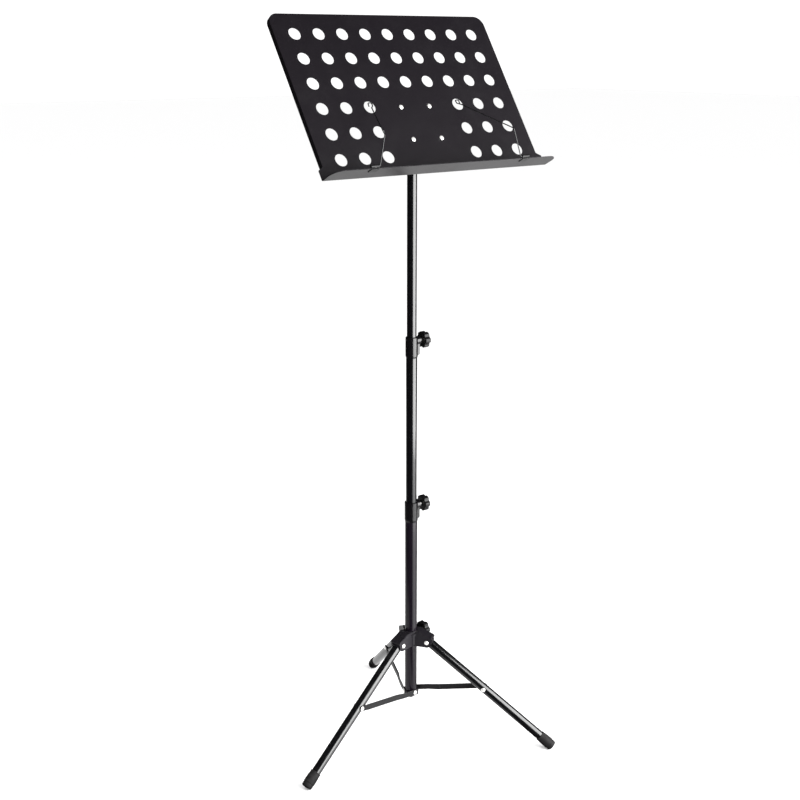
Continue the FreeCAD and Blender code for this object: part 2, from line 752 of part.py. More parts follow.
def knuckle(index):
    """The plastic knuckle in a leg's upper end, round about the hub's rivet."""
    body = new_body("leg_knuckle_" + LEGS[index])
    half = S.knuckle_half
    block = sketch_on(body, "XZ_Plane")
    outline(block, (
        (-half, -S.leg_start),
        (half, -S.leg_start),
        (half, 0),
        (0, half),
        (-half, 0),
    ), {2: (half, 1), 3: (half, 1)})
    extrude(body, "Pad", block, half * 2, both=True)
    plug = sketch_on(body, "XY_Plane", Placement(Vector(0, 0, -float(S.leg_start)), Rotation()))
    circle(plug, 0, 0, S.leg_d / 2 - S.tube_wall - S.slip)
    extrude(body, "Pad", plug, S.knuckle_plug, back=True)
    hole = sketch_on(body, "XZ_Plane")
    circle(hole, 0, 0, S.pin_radius + S.slip)
    extrude(body, "Pocket", hole, OPEN_END, both=True)
    keep(body, on_leg(index))


def leg_tube(index):
    """A leg's tube, drilled for the brace's rivet."""
    length = S.leg_length - S.leg_end_gap - S.leg_start
    body = new_body("leg_tube_" + LEGS[index])
    sketch = sketch_on(body, "XY_Plane", Placement(Vector(0, 0, -float(S.leg_start)), Rotation()))
    circle(sketch, 0, 0, S.leg_d / 2)
    circle(sketch, 0, 0, S.leg_d / 2 - S.tube_wall)
    extrude(body, "Pad", sketch, length, back=True)
    hole = sketch_on(body, "XZ_Plane")
    circle(hole, 0, -S.brace_on_leg, S.brace_pin + S.slip)
    extrude(body, "Pocket", hole, OPEN_END, both=True)
    keep(body, on_leg(index))


def leg_stud(index):
    """The rivet through a leg: its head on the leg's right, its washer under the brace."""
    body = new_body("leg_stud_" + LEGS[index])
    sketch = sketch_on(body, "XZ_Plane")
    wall = S.leg_d / 2
    washer_top = S.brace_far - 0.1
    outline(sketch, (
        (0, -wall - S.rivet_dome),
        (S.rivet_crown, -wall - S.rivet_dome),
        (S.rivet_head, -wall),
        (S.brace_pin, -wall),
        (S.brace_pin, wall),
        (S.stud_washer, wall),
        (S.stud_washer, washer_top),
        (0, washer_top),
    ), {1: (dome_curve(), 1)})
    spin(body, "Revolution", sketch)
    turned = Placement(Vector(0, 0, -float(S.brace_on_leg)), Rotation(Vector(1, 0, 0), -90))
    keep(body, on_leg(index) * turned)


def foot(index):
    """A rubber foot over the tube's end, worn flat where it meets the floor."""
    blank = new_body("foot_blank_" + LEGS[index])
    sketch = sketch_on(blank, "XZ_Plane")
    wide, end = S.foot_d / 2, S.foot_end_d / 2
    outline(sketch, (
        (0, 0),
        (end - 2.5, 0),
        (end, 2.5),
        (wide, 10.0),
        (wide, 20.0),
        (S.leg_d / 2 + 1.2, S.foot_length),
        (S.leg_d / 2 + S.slip, S.foot_length),
        (S.leg_d / 2 + S.slip, S.leg_end_gap),
        (0, S.leg_end_gap),
    ), {1: (2.5, 1)})
    spin(blank, "Revolution", sketch)
    blank.Placement = on_leg(index) * Placement(Vector(0, 0, -float(S.leg_length)), Rotation())
    floor = DOC.addObject("Part::Box", "Floor_" + LEGS[index])
    floor.Length = floor.Width = 2 * FLOOR_HALF
    floor.Height = FLOOR_DEEP
    end = blank.Placement.Base
    corner = Vector(end.x - FLOOR_HALF, end.y - FLOOR_HALF, -FLOOR_DEEP)
    floor.Placement = Placement(corner, Rotation())
    trimmed = DOC.addObject("Part::Cut", "Foot_" + LEGS[index])
    trimmed.Base = blank
    trimmed.Tool = floor
    trimmed.Label = "foot_" + LEGS[index]
    keep(trimmed)


# ---------------------------------------------------------------- braces and spider

def brace(index):
    """A pressed steel brace: flat cranked ends and a hollow-backed middle."""
    body = new_body("brace_" + LEGS[index])
    span, _ = brace_span()
    near, far, thin, thick = S.brace_near, S.brace_far, S.brace_sheet, S.brace_thick
    end = S.brace_tall / 2
    plan = sketch_on(body, "XY_Plane")
    outline(plan, (
        (-end, near),
        (S.crank_start, near),
        (S.crank_end, far),
        (span + end, far),
        (span + end, far + thin),
        (span - S.brace_flat, far + thin),
        (span - S.brace_flat - S.brace_press, far + thick),
        (S.crank_end + 2.0, far + thick),
        (S.crank_start - 3.0, near + thin),
        (-end, near + thin),
    ))
    extrude(body, "Pad", plan, S.brace_tall, both=True)
    soften(body, "Fillet", end - 0.2,
           lambda e: runs_along(e, "y") and not 0 < middle_of(e).x < span)
    channel = sketch_on(body, "XZ_Plane", Placement(Vector(0, 0, -float(far)), Rotation()))
    half = end - thin
    box_outline(channel, S.crank_end + S.brace_press, span - S.brace_flat - S.brace_press - 3.0,
                -half, half)
    extrude(body, "Pocket", channel, thick - thin)
    holes = sketch_on(body, "XZ_Plane")
    for x in (0.0, span):
        circle(holes, x, 0, S.brace_pin + S.slip)
    extrude(body, "Pocket", holes, OPEN_END, both=True)
    keep(body, on_brace(index))


def brace_rivet(index):
    """The brace's own head at the leg: it turns with the brace, against the leg's stud."""
    span, _ = brace_span()
    place = on_brace(index) * Placement(Vector(span, float(S.brace_far), 0),
                                        Rotation(Vector(1, 0, 0), -90))
    label = "brace_rivet_" + LEGS[index]
    keep(dome_rivet(label, S.brace_sheet, S.brace_pin, place))


def spider():
    """The foot of the mast: a plug in the lower tube over a block with a flat for each brace."""
    body = new_body("spider")
    place = on_mast(S.lower_bottom, leg_turn(0))
    block = sketch_on(body, "XY_Plane")
    circle(block, 0, 0, S.spider_round)
    extrude(body, "Pad", block, S.spider_tall, back=True)
    flat = sketch_on(body, "XY_Plane")
    box_outline(flat, -S.spider_round, S.spider_round, S.spider_half, S.spider_round * 2)
    cut = extrude(body, "Pocket", flat, S.spider_tall + 1.0)
    repeat_round(body, [cut], 3)
    plug = sketch_on(body, "XY_Plane")
    circle(plug, 0, 0, S.lower_d / 2 - S.tube_wall - S.slip)
    extrude(body, "Pad", plug, S.spider_plug)
    holes = sketch_on(body, "XZ_Plane")
    circle(holes, S.brace_r, S.brace_z - S.lower_bottom, S.brace_pin + S.slip)
    drilled = extrude(body, "Pocket", holes, S.spider_round * 2)
    repeat_round(body, [drilled], 3)
    keep(body, place)
    reach = S.spider_pin_in
    shank = S.brace_near + S.brace_sheet + 0.1 - reach
    pins = []
    for index in range(3):
        turned = Placement(Vector(0, float(reach), 0), Rotation(Vector(1, 0, 0), -90))
        pins.append(dome_rivet("spider_rivet_%d" % index, shank, S.brace_pin,
                               on_brace(index) * turned))
    group("spider_rivets", pins)


# ---------------------------------------------------------------- desk

def desk_panel():
    """The perforated sheet: returned edges, a wider foot, the fold and the ledge."""
    body = new_body("desk_panel")
    face = S.face_from_hinge
    wall = S.sheet_wall
    front = Placement(Vector(0, 0, float(face)), Rotation())
    sheet = sketch_on(body, "XZ_Plane", front)
    half, wide, corner = S.desk_half, S.wide_half, S.desk_corner
    fold_top = S.fold_z + S.fold_radius
    outline(sheet, (
        (-wide, fold_top),
        (wide, fold_top),
        (wide, S.return_foot - S.shoulder),
        (half, S.return_foot),
        (half, S.desk_top - corner),
        (half - corner, S.desk_top),
        (-half + corner, S.desk_top),
        (-half, S.desk_top - corner),
        (-half, S.return_foot),
        (-wide, S.return_foot - S.shoulder),
    ), {4: (corner, 1), 6: (corner, 1)})
    extrude(body, "Pad", sheet, wall, back=True)
    returns = sketch_on(body, "XZ_Plane", front)
    foot_z = S.return_foot
    low_corner = S.desk_top - corner
    outline(returns, (
        (half, foot_z),
        (half, low_corner),
        (half - corner, S.desk_top),
        (-half + corner, S.desk_top),
        (-half, low_corner),
        (-half, foot_z),
        (-half + wall, foot_z),
        (-half + wall, low_corner),
        (-half + corner, S.desk_top - wall),
        (half - corner, S.desk_top - wall),
        (half - wall, low_corner),
        (half - wall, foot_z),
    ), {1: (corner, 1), 3: (corner, 1), 7: (corner - wall, -1), 9: (corner - wall, -1)})
    extrude(body, "Pad", returns, S.desk_return, back=True)
    soften(body, "Fillet", S.return_bend, is_return_edge)
    fold = sketch_on(body, "YZ_Plane")
    droop = math.radians(float(S.ledge_droop))
    outside, inside = S.fold_radius, S.fold_radius - wall
    centre_y = -face - inside
    centre_z = fold_top
    out_y, out_z = math.sin(droop), -math.cos(droop)
    outline(fold, (
        (centre_y + inside, centre_z),
        (centre_y + outside, centre_z),
        (centre_y + outside * out_y, centre_z + outside * out_z),
        (centre_y + inside * out_y, centre_z + inside * out_z),
    ), {1: (outside, -1), 3: (inside, 1)})
    extrude(body, "Pad", fold, wide * 2, both=True)
    start = Vector(0, float(centre_y), float(centre_z))
    start += Vector(0, float(outside) * out_y, float(outside) * out_z)
    plane = Placement(start, Rotation(Vector(1, 0, 0), float(S.ledge_droop)))
    ledge = sketch_on(body, "XY_Plane", plane)
    depth = S.ledge_depth - inside
    curve = S.ledge_corner
    outline(ledge, (
        (-wide, 0),
        (-wide, -depth + curve),
        (-wide + curve, -depth),
        (wide - curve, -depth),
        (wide, -depth + curve),
        (wide, 0),
    ), {1: (curve, 1), 3: (curve, 1)})
    extrude(body, "Pad", ledge, wall)
    holes = sketch_on(body, "XZ_Plane", front)
    for column, row in perforation():
        circle(holes, S.hole_pitch * column, S.hole_row_one - S.hole_pitch * row, S.hole_d / 2)
    for x, z in rivet_places():
        circle(holes, x, z, S.rivet_way)
    extrude(body, "Pocket", holes, wall + 4.0, both=True)
    keep(body, on_desk())


def is_return_edge(edge):
    """The long outer edges of the three returns, at the desk's face."""
    if abs(middle_of(edge).y + S.face_from_hinge.value) > 0.01:
        return False
    beside = runs_along(edge, "z") and abs(abs(middle_of(edge).x) - S.desk_half.value) < 0.01
    above = runs_along(edge, "x") and abs(middle_of(edge).z - S.desk_top.value) < 0.01
    return beside or above


def perforation():
    """Columns from the middle and rows from the top: the lower three rows miss the middle."""
    return [(column, row) for row in range(6) for column in range(-4, 5)
            if row < 3 or abs(column) > 1]


def rivet_places():
    return [(x, z) for x in (S.rivet_x, -S.rivet_x) for z in (S.rivet_z, -S.rivet_z)]


def desk_bracket():
    """The tilt bracket: a plate behind the desk with two ears for the tilt bolt."""
    body = new_body("desk_bracket")
    back = S.face_from_hinge - S.sheet_wall - S.sheet_gap
    plate = sketch_on(body, "XZ_Plane", Placement(Vector(0, 0, float(back)), Rotation()))
    box_outline(plate, -S.plate_half_x, S.plate_half_x, -S.plate_half_z, S.plate_half_z)
    for x, z in rivet_places():
        circle(plate, x, z, S.rivet_way)
    extrude(body, "Pad", plate, S.plate_thick, back=True)
    soften(body, "Fillet", S.plate_corner, lambda e: runs_along(e, "y"))
    for side in (1, -1):
        shift = S.ear_inside if side > 0 else -S.ear_inside - S.ear_thick
        ear = sketch_on(body, "YZ_Plane", Placement(Vector(0, 0, float(shift)), Rotation()))
        plate_y = -back + S.plate_thick / 2
        arc_end = math.sqrt(float(S.ear_round) ** 2 - float(S.ear_lean) ** 2)
        outline(ear, (
            (plate_y, -S.ear_root),
            (plate_y + S.ear_step, -S.ear_root),
            (-S.ear_lean, -arc_end),
            (-S.ear_lean, arc_end),
            (plate_y + S.ear_step, S.ear_root),
            (plate_y, S.ear_root),
        ), {2: (S.ear_round, 1)})
        circle(ear, 0, 0, S.bolt_radius + S.slip)
        extrude(body, "Pad", ear, S.ear_thick)
    keep(body, on_desk())


def desk_rivets():
    """The four bright rivets between the desk and its bracket."""
    length = S.sheet_wall + S.plate_thick + S.sheet_gap
    pins = []
    for index, (x, z) in enumerate(rivet_places()):
        start = Vector(float(x), -float(S.face_from_hinge) + float(length), float(z))
        place = on_desk() * Placement(start, Rotation(Vector(1, 0, 0), 90))
        pins.append(dome_rivet("desk_rivet_%d" % index, length, S.rivet_shank, place, both=True))
    group("desk_rivets", pins)


def tilt_head():
    """The head on the upper tube: a socket below, a barrel between the bracket's ears above."""
    body = new_body("tilt_head")
    socket = sketch_on(body, "XZ_Plane")
    outline(socket, (
        (0, -S.head_drop),
        (S.head_radius - 1.5, -S.head_drop),
        (S.head_radius, -S.head_drop + 1.5),
        (S.head_radius, -S.head_shoulder),
        (S.head_radius - 2.5, 0),
        (0, 0),
    ))
    spin(body, "Revolution", socket)
    barrel = sketch_on(body, "YZ_Plane")
    circle(barrel, 0, 0, S.ear_round)
    extrude(body, "Pad", barrel, (S.ear_inside - S.gap) * 2, both=True)
    bore = sketch_on(body, "XY_Plane", Placement(Vector(0, 0, -float(S.head_drop)), Rotation()))
    circle(bore, 0, 0, S.upper_d / 2 + S.slip)
    extrude(body, "Pocket", bore, S.head_drop - S.head_top, back=True)
    hole = sketch_on(body, "YZ_Plane")
    circle(hole, 0, 0, S.bolt_radius + S.slip)
    extrude(body, "Pocket", hole, OPEN_END, both=True)
    keep(body, on_mast(S.hinge_z))


def tilt_bolt():
    """The bolt along the hinge, domed at the desk's left, with its knob at the right."""
    outer = S.ear_inside + S.ear_thick
    knob_start = outer + S.tilt_knob_gap
    end = knob_start + S.tilt_grip
    place = on_desk() * Placement(Vector(float(end), 0, 0), Rotation(Vector(0, 1, 0), -90))
    keep(dome_rivet("tilt_bolt", outer + end, S.bolt_radius, place))
    at_knob = on_desk() * Placement(Vector(float(knob_start), 0, 0),
                                    Rotation(Vector(0, 1, 0), 90))
    star_knob("tilt_knob", S.bolt_radius + S.slip, S.tilt_grip + 1.0, at_knob)


def ledge_edge():
    """The middle of the ledge's front edge in the desk's frame, as (y, z), and its slope."""
    droop = math.radians(float(S.ledge_droop))
    inside = float(S.fold_radius - S.sheet_wall)
    y = -float(S.face_from_hinge) - inside
    z = float(S.fold_z + S.fold_radius)
    y += float(S.fold_radius) * math.sin(droop)
    z -= float(S.fold_radius) * math.cos(droop)
    depth = float(S.ledge_depth) - inside
    return y - depth * math.cos(droop), z - depth * math.sin(droop)


def at_clip(side):
    """A clip's frame: origin on the ledge's front lower edge, +Y back along the ledge."""
    y, z = ledge_edge()
    return on_desk() * Placement(Vector(side * float(S.clip_x), y, z),
                                 Rotation(Vector(1, 0, 0), float(S.ledge_droop)))


def barrel_height():
    """The barrel's axis above the ledge's underside."""
    return S.sheet_wall + S.sheet_gap + S.barrel_radius + S.barrel_lift


def page_clip(name, side):
    """A folded steel clip on the ledge's edge, rolled into a barrel for the wire."""
    body = new_body("page_clip_" + name)
    wall, grip, roll, gap = S.clip_wall, S.clip_grip, S.barrel_radius, S.sheet_gap
    top = S.sheet_wall + gap
    profile = sketch_on(body, "YZ_Plane")
    outline(profile, (
        (grip, -gap),
        (-gap, -gap),
        (-gap, top),
        (grip * 0.7, top),
        (grip * 0.7, top + wall),
        (-gap - wall, top + wall),
        (-gap - wall, -gap - wall),
        (grip, -gap - wall),
    ))
    extrude(body, "Pad", profile, S.clip_wide, both=True)
    barrel = sketch_on(body, "YZ_Plane")
    circle(barrel, 0, barrel_height(), roll)
    extrude(body, "Pad", barrel, S.clip_wide, both=True)
    bore = sketch_on(body, "YZ_Plane")
    circle(bore, 0, barrel_height(), S.wire_radius + S.slip)
    extrude(body, "Pocket", bore, OPEN_END, both=True)
    keep(body, at_clip(side))


def rounded_route(points, radius):
    """Straight runs joined by tangent arcs, as one wire."""
    edges = []
    start = points[0]
    for before, corner, after in zip(points, points[1:], points[2:]):
        into = (corner - before).normalize()
        out = (after - corner).normalize()
        turn = math.acos(max(-1.0, min(1.0, into.dot(out))))
        trim = radius * math.tan(turn / 2.0)
        first, last = corner - into * trim, corner + out * trim
        inward = (out - into).normalize()
        reach = radius / math.cos(turn / 2.0) - radius
        edges.append(Part.LineSegment(start, first).toShape())
        edges.append(Part.Arc(first, corner + inward * reach, last).toShape())
        start = last
    edges.append(Part.LineSegment(start, points[-1]).toShape())
    return Part.Wire(edges)


def page_arm(name, side):
    """A wire page holder: from its clip up to an elbow, and back to a loop against the page."""
    face = float(S.face_from_hinge)
    barrel = at_clip(side).multVec(Vector(0, 0, float(barrel_height())))
    seat = on_desk().inverse().multVec(barrel)
    radius = float(S.wire_radius)
    loop = float(S.loop_radius)
    inner = side * (float(S.clip_x) - float(S.clip_wide) / 2 - 3.0)
    elbow = Vector(side * float(S.elbow_x), -face - float(S.elbow_front), float(S.elbow_z))
    tip = Vector(side * float(S.tip_x), -face - float(S.tip_front), float(S.tip_z))
    rise = (tip - elbow).normalize()
    across_tip = Vector(side, 0, 0)
    turn_in = tip - rise * (2.2 * loop)
    points = [
        Vector(side * (float(S.clip_x) + float(S.clip_wide) / 2 + 0.6), seat.y, seat.z),
        Vector(inner, seat.y, seat.z),
        elbow,
        turn_in,
        tip - across_tip * loop - rise * loop * 0.4,
        tip - across_tip * loop + Vector(0, 0, loop * 1.4),
        tip + across_tip * loop + Vector(0, 0, loop * 1.4),
        tip + across_tip * loop - Vector(0, 0, loop * 0.4),
    ]
    route = rounded_route(points, float(S.wire_bend))
    start = points[0]
    ring_wire = Part.Wire(Part.Circle(start, points[1] - start, radius).toShape())
    solid = route.makePipeShell([ring_wire], True, True)
    arm = DOC.addObject("Part::Feature", "Arm_" + name)
    arm.Label = "page_arm_" + name
    arm.Shape = solid
    keep(arm, on_desk())


# ---------------------------------------------------------------- the whole stand

def build():
    mast()
    hub()
    for index in range(3):
        knuckle(index)
        leg_tube(index)
        leg_stud(index)
        foot(index)
        brace(index)
        brace_rivet(index)
    spider()
    desk_panel()
    desk_bracket()
    desk_rivets()
    tilt_head()
    tilt_bolt()
    for name, side in (("left", -1), ("right", 1)):
        page_clip(name, side)
        page_arm(name, side)
    DOC.recompute()


def faults():
    """Objects that failed, and sub-parts with no sound shape."""
    bad = [item.Label for item in DOC.Objects
           if "Invalid" in item.State or "Error" in item.State]
    for cut in CUTS:
        if cut.Shape.Volume > cut.BaseFeature.Shape.Volume - 0.1:
            bad.append(cut.Label + " cuts nothing")
    for piece in PARTS:
        shape = piece.Shape
        if shape.isNull() or not shape.isValid() or not shape.Solids:
            bad.append(piece.Label)
    return bad


def export():
    os.makedirs("parts", exist_ok=True)
    whole = FreeCAD.BoundBox()
    for piece in PARTS:
        piece.Shape.exportStep(os.path.join("parts", piece.Label + ".step"))
        whole.add(piece.Shape.BoundBox)
    print("sub-parts:", len(PARTS))
    print("box:", whole)


build()
broken = faults()
if broken:
    sys.exit("failed: " + ", ".join(broken))
export()
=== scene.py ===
import math

import bmesh
import bpy
from mathutils import Matrix, Vector


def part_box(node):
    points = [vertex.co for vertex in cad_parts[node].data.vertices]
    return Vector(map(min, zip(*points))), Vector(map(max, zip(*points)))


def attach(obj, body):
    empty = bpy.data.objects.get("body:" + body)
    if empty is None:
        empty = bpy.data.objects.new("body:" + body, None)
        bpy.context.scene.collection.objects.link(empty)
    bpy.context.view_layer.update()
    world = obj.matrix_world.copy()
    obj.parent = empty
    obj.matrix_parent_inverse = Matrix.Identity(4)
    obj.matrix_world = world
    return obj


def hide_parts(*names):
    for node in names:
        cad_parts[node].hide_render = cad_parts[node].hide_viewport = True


# A folding music stand: a perforated steel desk on a telescopic mast over a tripod.
# Pieces are drawn in millimetres in the frame of their own joint, then set down in metres.

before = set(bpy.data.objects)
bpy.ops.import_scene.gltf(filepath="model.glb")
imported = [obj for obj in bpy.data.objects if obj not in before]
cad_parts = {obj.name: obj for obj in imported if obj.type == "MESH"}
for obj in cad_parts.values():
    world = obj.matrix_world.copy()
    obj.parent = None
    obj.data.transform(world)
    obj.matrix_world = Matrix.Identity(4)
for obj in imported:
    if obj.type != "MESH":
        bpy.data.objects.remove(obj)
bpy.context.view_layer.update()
MM = 0.001
SIDES = ("left", "right", "rear")

# ---------------------------------------------------------------- sizes, millimetres and degrees

LOWER_D, MIDDLE_D, UPPER_D = 24.5, 21.5, 18.5
TUBE_WALL = 1.2
LIP = 0.45                      # rounding of a cut tube's mouth
SLIP = 0.05

KNOB_RADIUS, KNOB_THICK = 16.0, 12.5
SCALLOP_RADIUS, SCALLOP_CENTRE = 6.0, 19.6
KNOB_FROM_LUG = 6.5
LUG_REACH = 5.6                 # from a collar's tube to the end of its lug
HUB_SCREW_Z, HUB_BOSS_END = 223.0, 23.5
SCREW_RADIUS, SCREW_PITCH, THREAD_DEPTH = 2.95, 1.0, 0.38
GRIP = 8.0                      # length of a screw inside its knob
TILT_BOLT_BORE, TILT_GRIP, TILT_KNOB_GAP = 3.05, 10.0, 4.0
SCREW_GAP = 0.3

PIVOT_R, PIVOT_Z = 34.8, 212.5
FIRST_LEG = -170.0              # turn about the mast that takes +X along the left leg
LEG_ANGLE = 51.7
LEG_D, LEG_LENGTH, LEG_START, LEG_END_GAP = 18.5, 333.0, 9.0, 5.0
FORK_HALF = 12.2
FOOT_LENGTH = 33.5
BRACE_R, BRACE_Z = 2.0, 96.0
SPIDER_RIVET_IN, SPIDER_RIVET_OUT = 6.0, 14.3

HINGE_Z, DESK_TILT = 1227.2, 34.0
FACE_FROM_HINGE, SHEET, PLATE = 33.2, 1.2, 2.05
RIVET_X, RIVET_Z = 32.0, 33.0
RIVET_HEAD, RIVET_DOME = 4.6, 2.0
PIVOT_PIN, SPIDER_PIN, DESK_PIN = 3.0, 2.5, 2.45     # radii of the rivets' shanks
EAR_OUTSIDE = 19.5

# ---------------------------------------------------------------- colours

BARE_STEEL = (0.30, 0.29, 0.28)
DUST_COLOUR, DUST_ROUGHNESS = (0.12, 0.115, 0.11), 0.9
PAPER_DARK, PAPER_LIGHT = (0.86, 0.86, 0.86), (0.89, 0.89, 0.89)

# ---------------------------------------------------------------- camera and light, metres and watts

CAMERA_PLACE = (-1.389, -1.880, 1.379)
CAMERA_DOWN, CAMERA_YAW, LENS = 15.8, -36.717, 56.34
FLOOR_HALF = 30.0
ROOM, REFLECTED_ROOM = 1.2, 0.02        # brightness of the room, and of the room in a reflection
# name, place, aimed at, width and height of the panel, power
SOFTBOXES = (
    ("key right of the camera", (1.10, -2.25, 1.10), (0.0, 0.0, 1.10), 3.2, 2.6, 310.0),
    ("foot of the key", (1.10, -2.25, -0.85), (0.0, 0.0, -0.85), 3.2, 1.2, 40.0),
    ("bounce from the floor behind", (0.90, 1.30, 0.02), (0.90, 1.30, 1.0), 3.0, 3.0, 26.0),
)

# ---------------------------------------------------------------- places


def shift(x=0.0, y=0.0, z=0.0):
    return Matrix.Translation((x, y, z))


def turn(degrees, axis):
    return Matrix.Rotation(math.radians(degrees), 4, axis)


def mast_axis():
    """The mast's own place: its axis at floor level."""
    low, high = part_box("upper_tube")
    middle = (low + high) / (2 * MM)
    return shift(middle.x, middle.y)


MAST = mast_axis()


def top_of(node):
    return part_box(node)[1].z / MM


def bottom_of(node):
    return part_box(node)[0].z / MM


def leg_side(index):
    """The mast turned so that +X runs out along a leg."""
    return MAST @ turn(FIRST_LEG + 120.0 * index, "Z")


def leg_place(index):
    """A leg's pivot, with Z up the leg and +Y on the side of its brace."""
    return leg_side(index) @ shift(PIVOT_R, 0, PIVOT_Z) @ turn(-LEG_ANGLE, "Y")


def desk_place():
    """The tilt hinge, with Z up the desk and its face towards -Y."""
    return MAST @ shift(0, 0, HINGE_Z) @ turn(-DESK_TILT, "X")


# ---------------------------------------------------------------- shader groups


class Board:
    """Lays and wires the nodes of one tree."""

    def __init__(self, tree):
        self.tree = tree

    def add(self, kind, **settings):
        node = self.tree.nodes.new(kind)
        for name, value in settings.items():
            setattr(node, name, value)
        return node

    def wire(self, source, target):
        self.tree.links.new(source, target)

    def maths(self, operation, first, second=None, clamp=False):
        node = self.add("ShaderNodeMath", operation=operation, use_clamp=clamp)
        for socket, value in zip(node.inputs, (first, second)):
            if isinstance(value, (int, float)):
                socket.default_value = value
            elif value is not None:
                self.wire(value, socket)
        return node.outputs[0]

    def ramp(self, value, low, high, out_low=0.0, out_high=1.0):
        node = self.add("ShaderNodeMapRange", interpolation_type="SMOOTHSTEP")
        self.wire(value, node.inputs["Value"])
        for name, number in (("From Min", low), ("From Max", high),
                             ("To Min", out_low), ("To Max", out_high)):
            node.inputs[name].default_value = number
        return node.outputs["Result"]

    def noise(self, vector, scale, detail=2.0, roughness=0.5):
        node = self.add("ShaderNodeTexNoise")
        self.wire(vector, node.inputs["Vector"])
        if isinstance(scale, (int, float)):
            node.inputs["Scale"].default_value = scale
        else:
            self.wire(scale, node.inputs["Scale"])
        node.inputs["Detail"].default_value = detail
        node.inputs["Roughness"].default_value = roughness
        return node.outputs["Fac"]

    def blend(self, mask, first, second):
        """Mixes two colours, each a socket or an RGB triple."""
        node = self.add("ShaderNodeMix", data_type="RGBA")
        self.wire(mask, node.inputs["Factor"])
        for socket, value in zip((node.inputs[6], node.inputs[7]), (first, second)):
            if isinstance(value, tuple):
                socket.default_value = (*value, 1.0)
            else:
                self.wire(value, socket)
        return node.outputs[2]

    def between(self, mask, first, second):
        """Mixes two values, each a socket or a number."""
        node = self.add("ShaderNodeMix", data_type="FLOAT")
        self.wire(mask, node.inputs["Factor"])
        for socket, value in zip((node.inputs[2], node.inputs[3]), (first, second)):
            if isinstance(value, (int, float)):
                socket.default_value = value
            else:
                self.wire(value, socket)
        return node.outputs[0]


def new_group(name, inputs, outputs):
    """A shader group with float inputs and outputs, its board and its two ends."""
    tree = bpy.data.node_groups.new(name, "ShaderNodeTree")
    for label, value in inputs:
        socket = tree.interface.new_socket(label, in_out="INPUT", socket_type="NodeSocketFloat")
        socket.default_value = value
    for label in outputs:
        tree.interface.new_socket(label, in_out="OUTPUT", socket_type="NodeSocketFloat")
    board = Board(tree)
    return tree, board, board.add("NodeGroupInput"), board.add("NodeGroupOutput")


def edge_wear_group():
    """Where handling has rubbed the corners: bright, broken and narrow."""
    tree, board, start, end = new_group("edge wear", (("Reach", 0.0008), ("Breakup", 300.0)), ("Wear",))
    rounded_normal = board.add("ShaderNodeBevel", samples=4)
    board.wire(start.outputs["Reach"], rounded_normal.inputs["Radius"])
    surface = board.add("ShaderNodeNewGeometry")
    same = board.add("ShaderNodeVectorMath", operation="DOT_PRODUCT")
    board.wire(rounded_normal.outputs["Normal"], same.inputs[0])
    board.wire(surface.outputs["Normal"], same.inputs[1])
    corner = board.ramp(board.maths("SUBTRACT", 1.0, same.outputs["Value"]), 0.015, 0.14)
    place = board.add("ShaderNodeTexCoord").outputs["Object"]
    chips = board.ramp(board.noise(place, start.outputs["Breakup"], 4.0, 0.65), 0.46, 0.66)
    board.wire(board.maths("MULTIPLY", corner, chips, True), end.inputs["Wear"])
    return tree


def grain_group():
    """A fine overall texture: its height, and the same grains as light and dark specks."""
    tree, board, start, end = new_group("grain", (("Size", 0.0005), ("Clump", 6.0)), ("Height", "Speck"))
    place = board.add("ShaderNodeTexCoord").outputs["Object"]
    fine_scale = board.maths("DIVIDE", 1.0, start.outputs["Size"])
    fine = board.noise(place, fine_scale, 3.0, 0.6)
    coarse = board.noise(place, board.maths("DIVIDE", fine_scale, start.outputs["Clump"]), 2.0)
    board.wire(board.maths("ADD", fine, board.maths("MULTIPLY", coarse, 0.6)), end.inputs["Height"])
    board.wire(board.ramp(fine, 0.52, 0.72), end.inputs["Speck"])
    return tree


def handling_group():
    """Broad patches where hands have polished or dulled the surface."""
    tree, board, start, end = new_group("handling", (("Size", 0.05), ("Amount", 1.0)), ("Mark",))
    place = board.add("ShaderNodeTexCoord").outputs["Object"]
    scale = board.maths("DIVIDE", 1.0, start.outputs["Size"])
    broad = board.ramp(board.noise(place, scale, 3.0, 0.6), 0.42, 0.68)
    streaks = board.ramp(board.noise(place, board.maths("MULTIPLY", scale, 7.0), 5.0, 0.7), 0.40, 0.75)
    both = board.maths("MULTIPLY", broad, board.maths("ADD", 0.45, streaks), True)
    board.wire(board.maths("MULTIPLY", both, start.outputs["Amount"], True), end.inputs["Mark"])
    return tree


def dust_group():
    """Dust that has settled on faces that look up."""
    tree, board, start, end = new_group("dust", (("Amount", 0.2), ("Size", 0.01)), ("Dust",))
    coords = board.add("ShaderNodeTexCoord")
    split = board.add("ShaderNodeSeparateXYZ")
    board.wire(coords.outputs["Normal"], split.inputs[0])
    facing_up = board.ramp(split.outputs["Z"], 0.35, 0.95)
    scale = board.maths("DIVIDE", 1.0, start.outputs["Size"])
    patches = board.ramp(board.noise(coords.outputs["Object"], scale, 6.0, 0.7), 0.35, 0.75)
    mask = board.maths("MULTIPLY", facing_up, board.maths("MULTIPLY", patches, start.outputs["Amount"]), True)
    board.wire(mask, end.inputs["Dust"])
    return tree


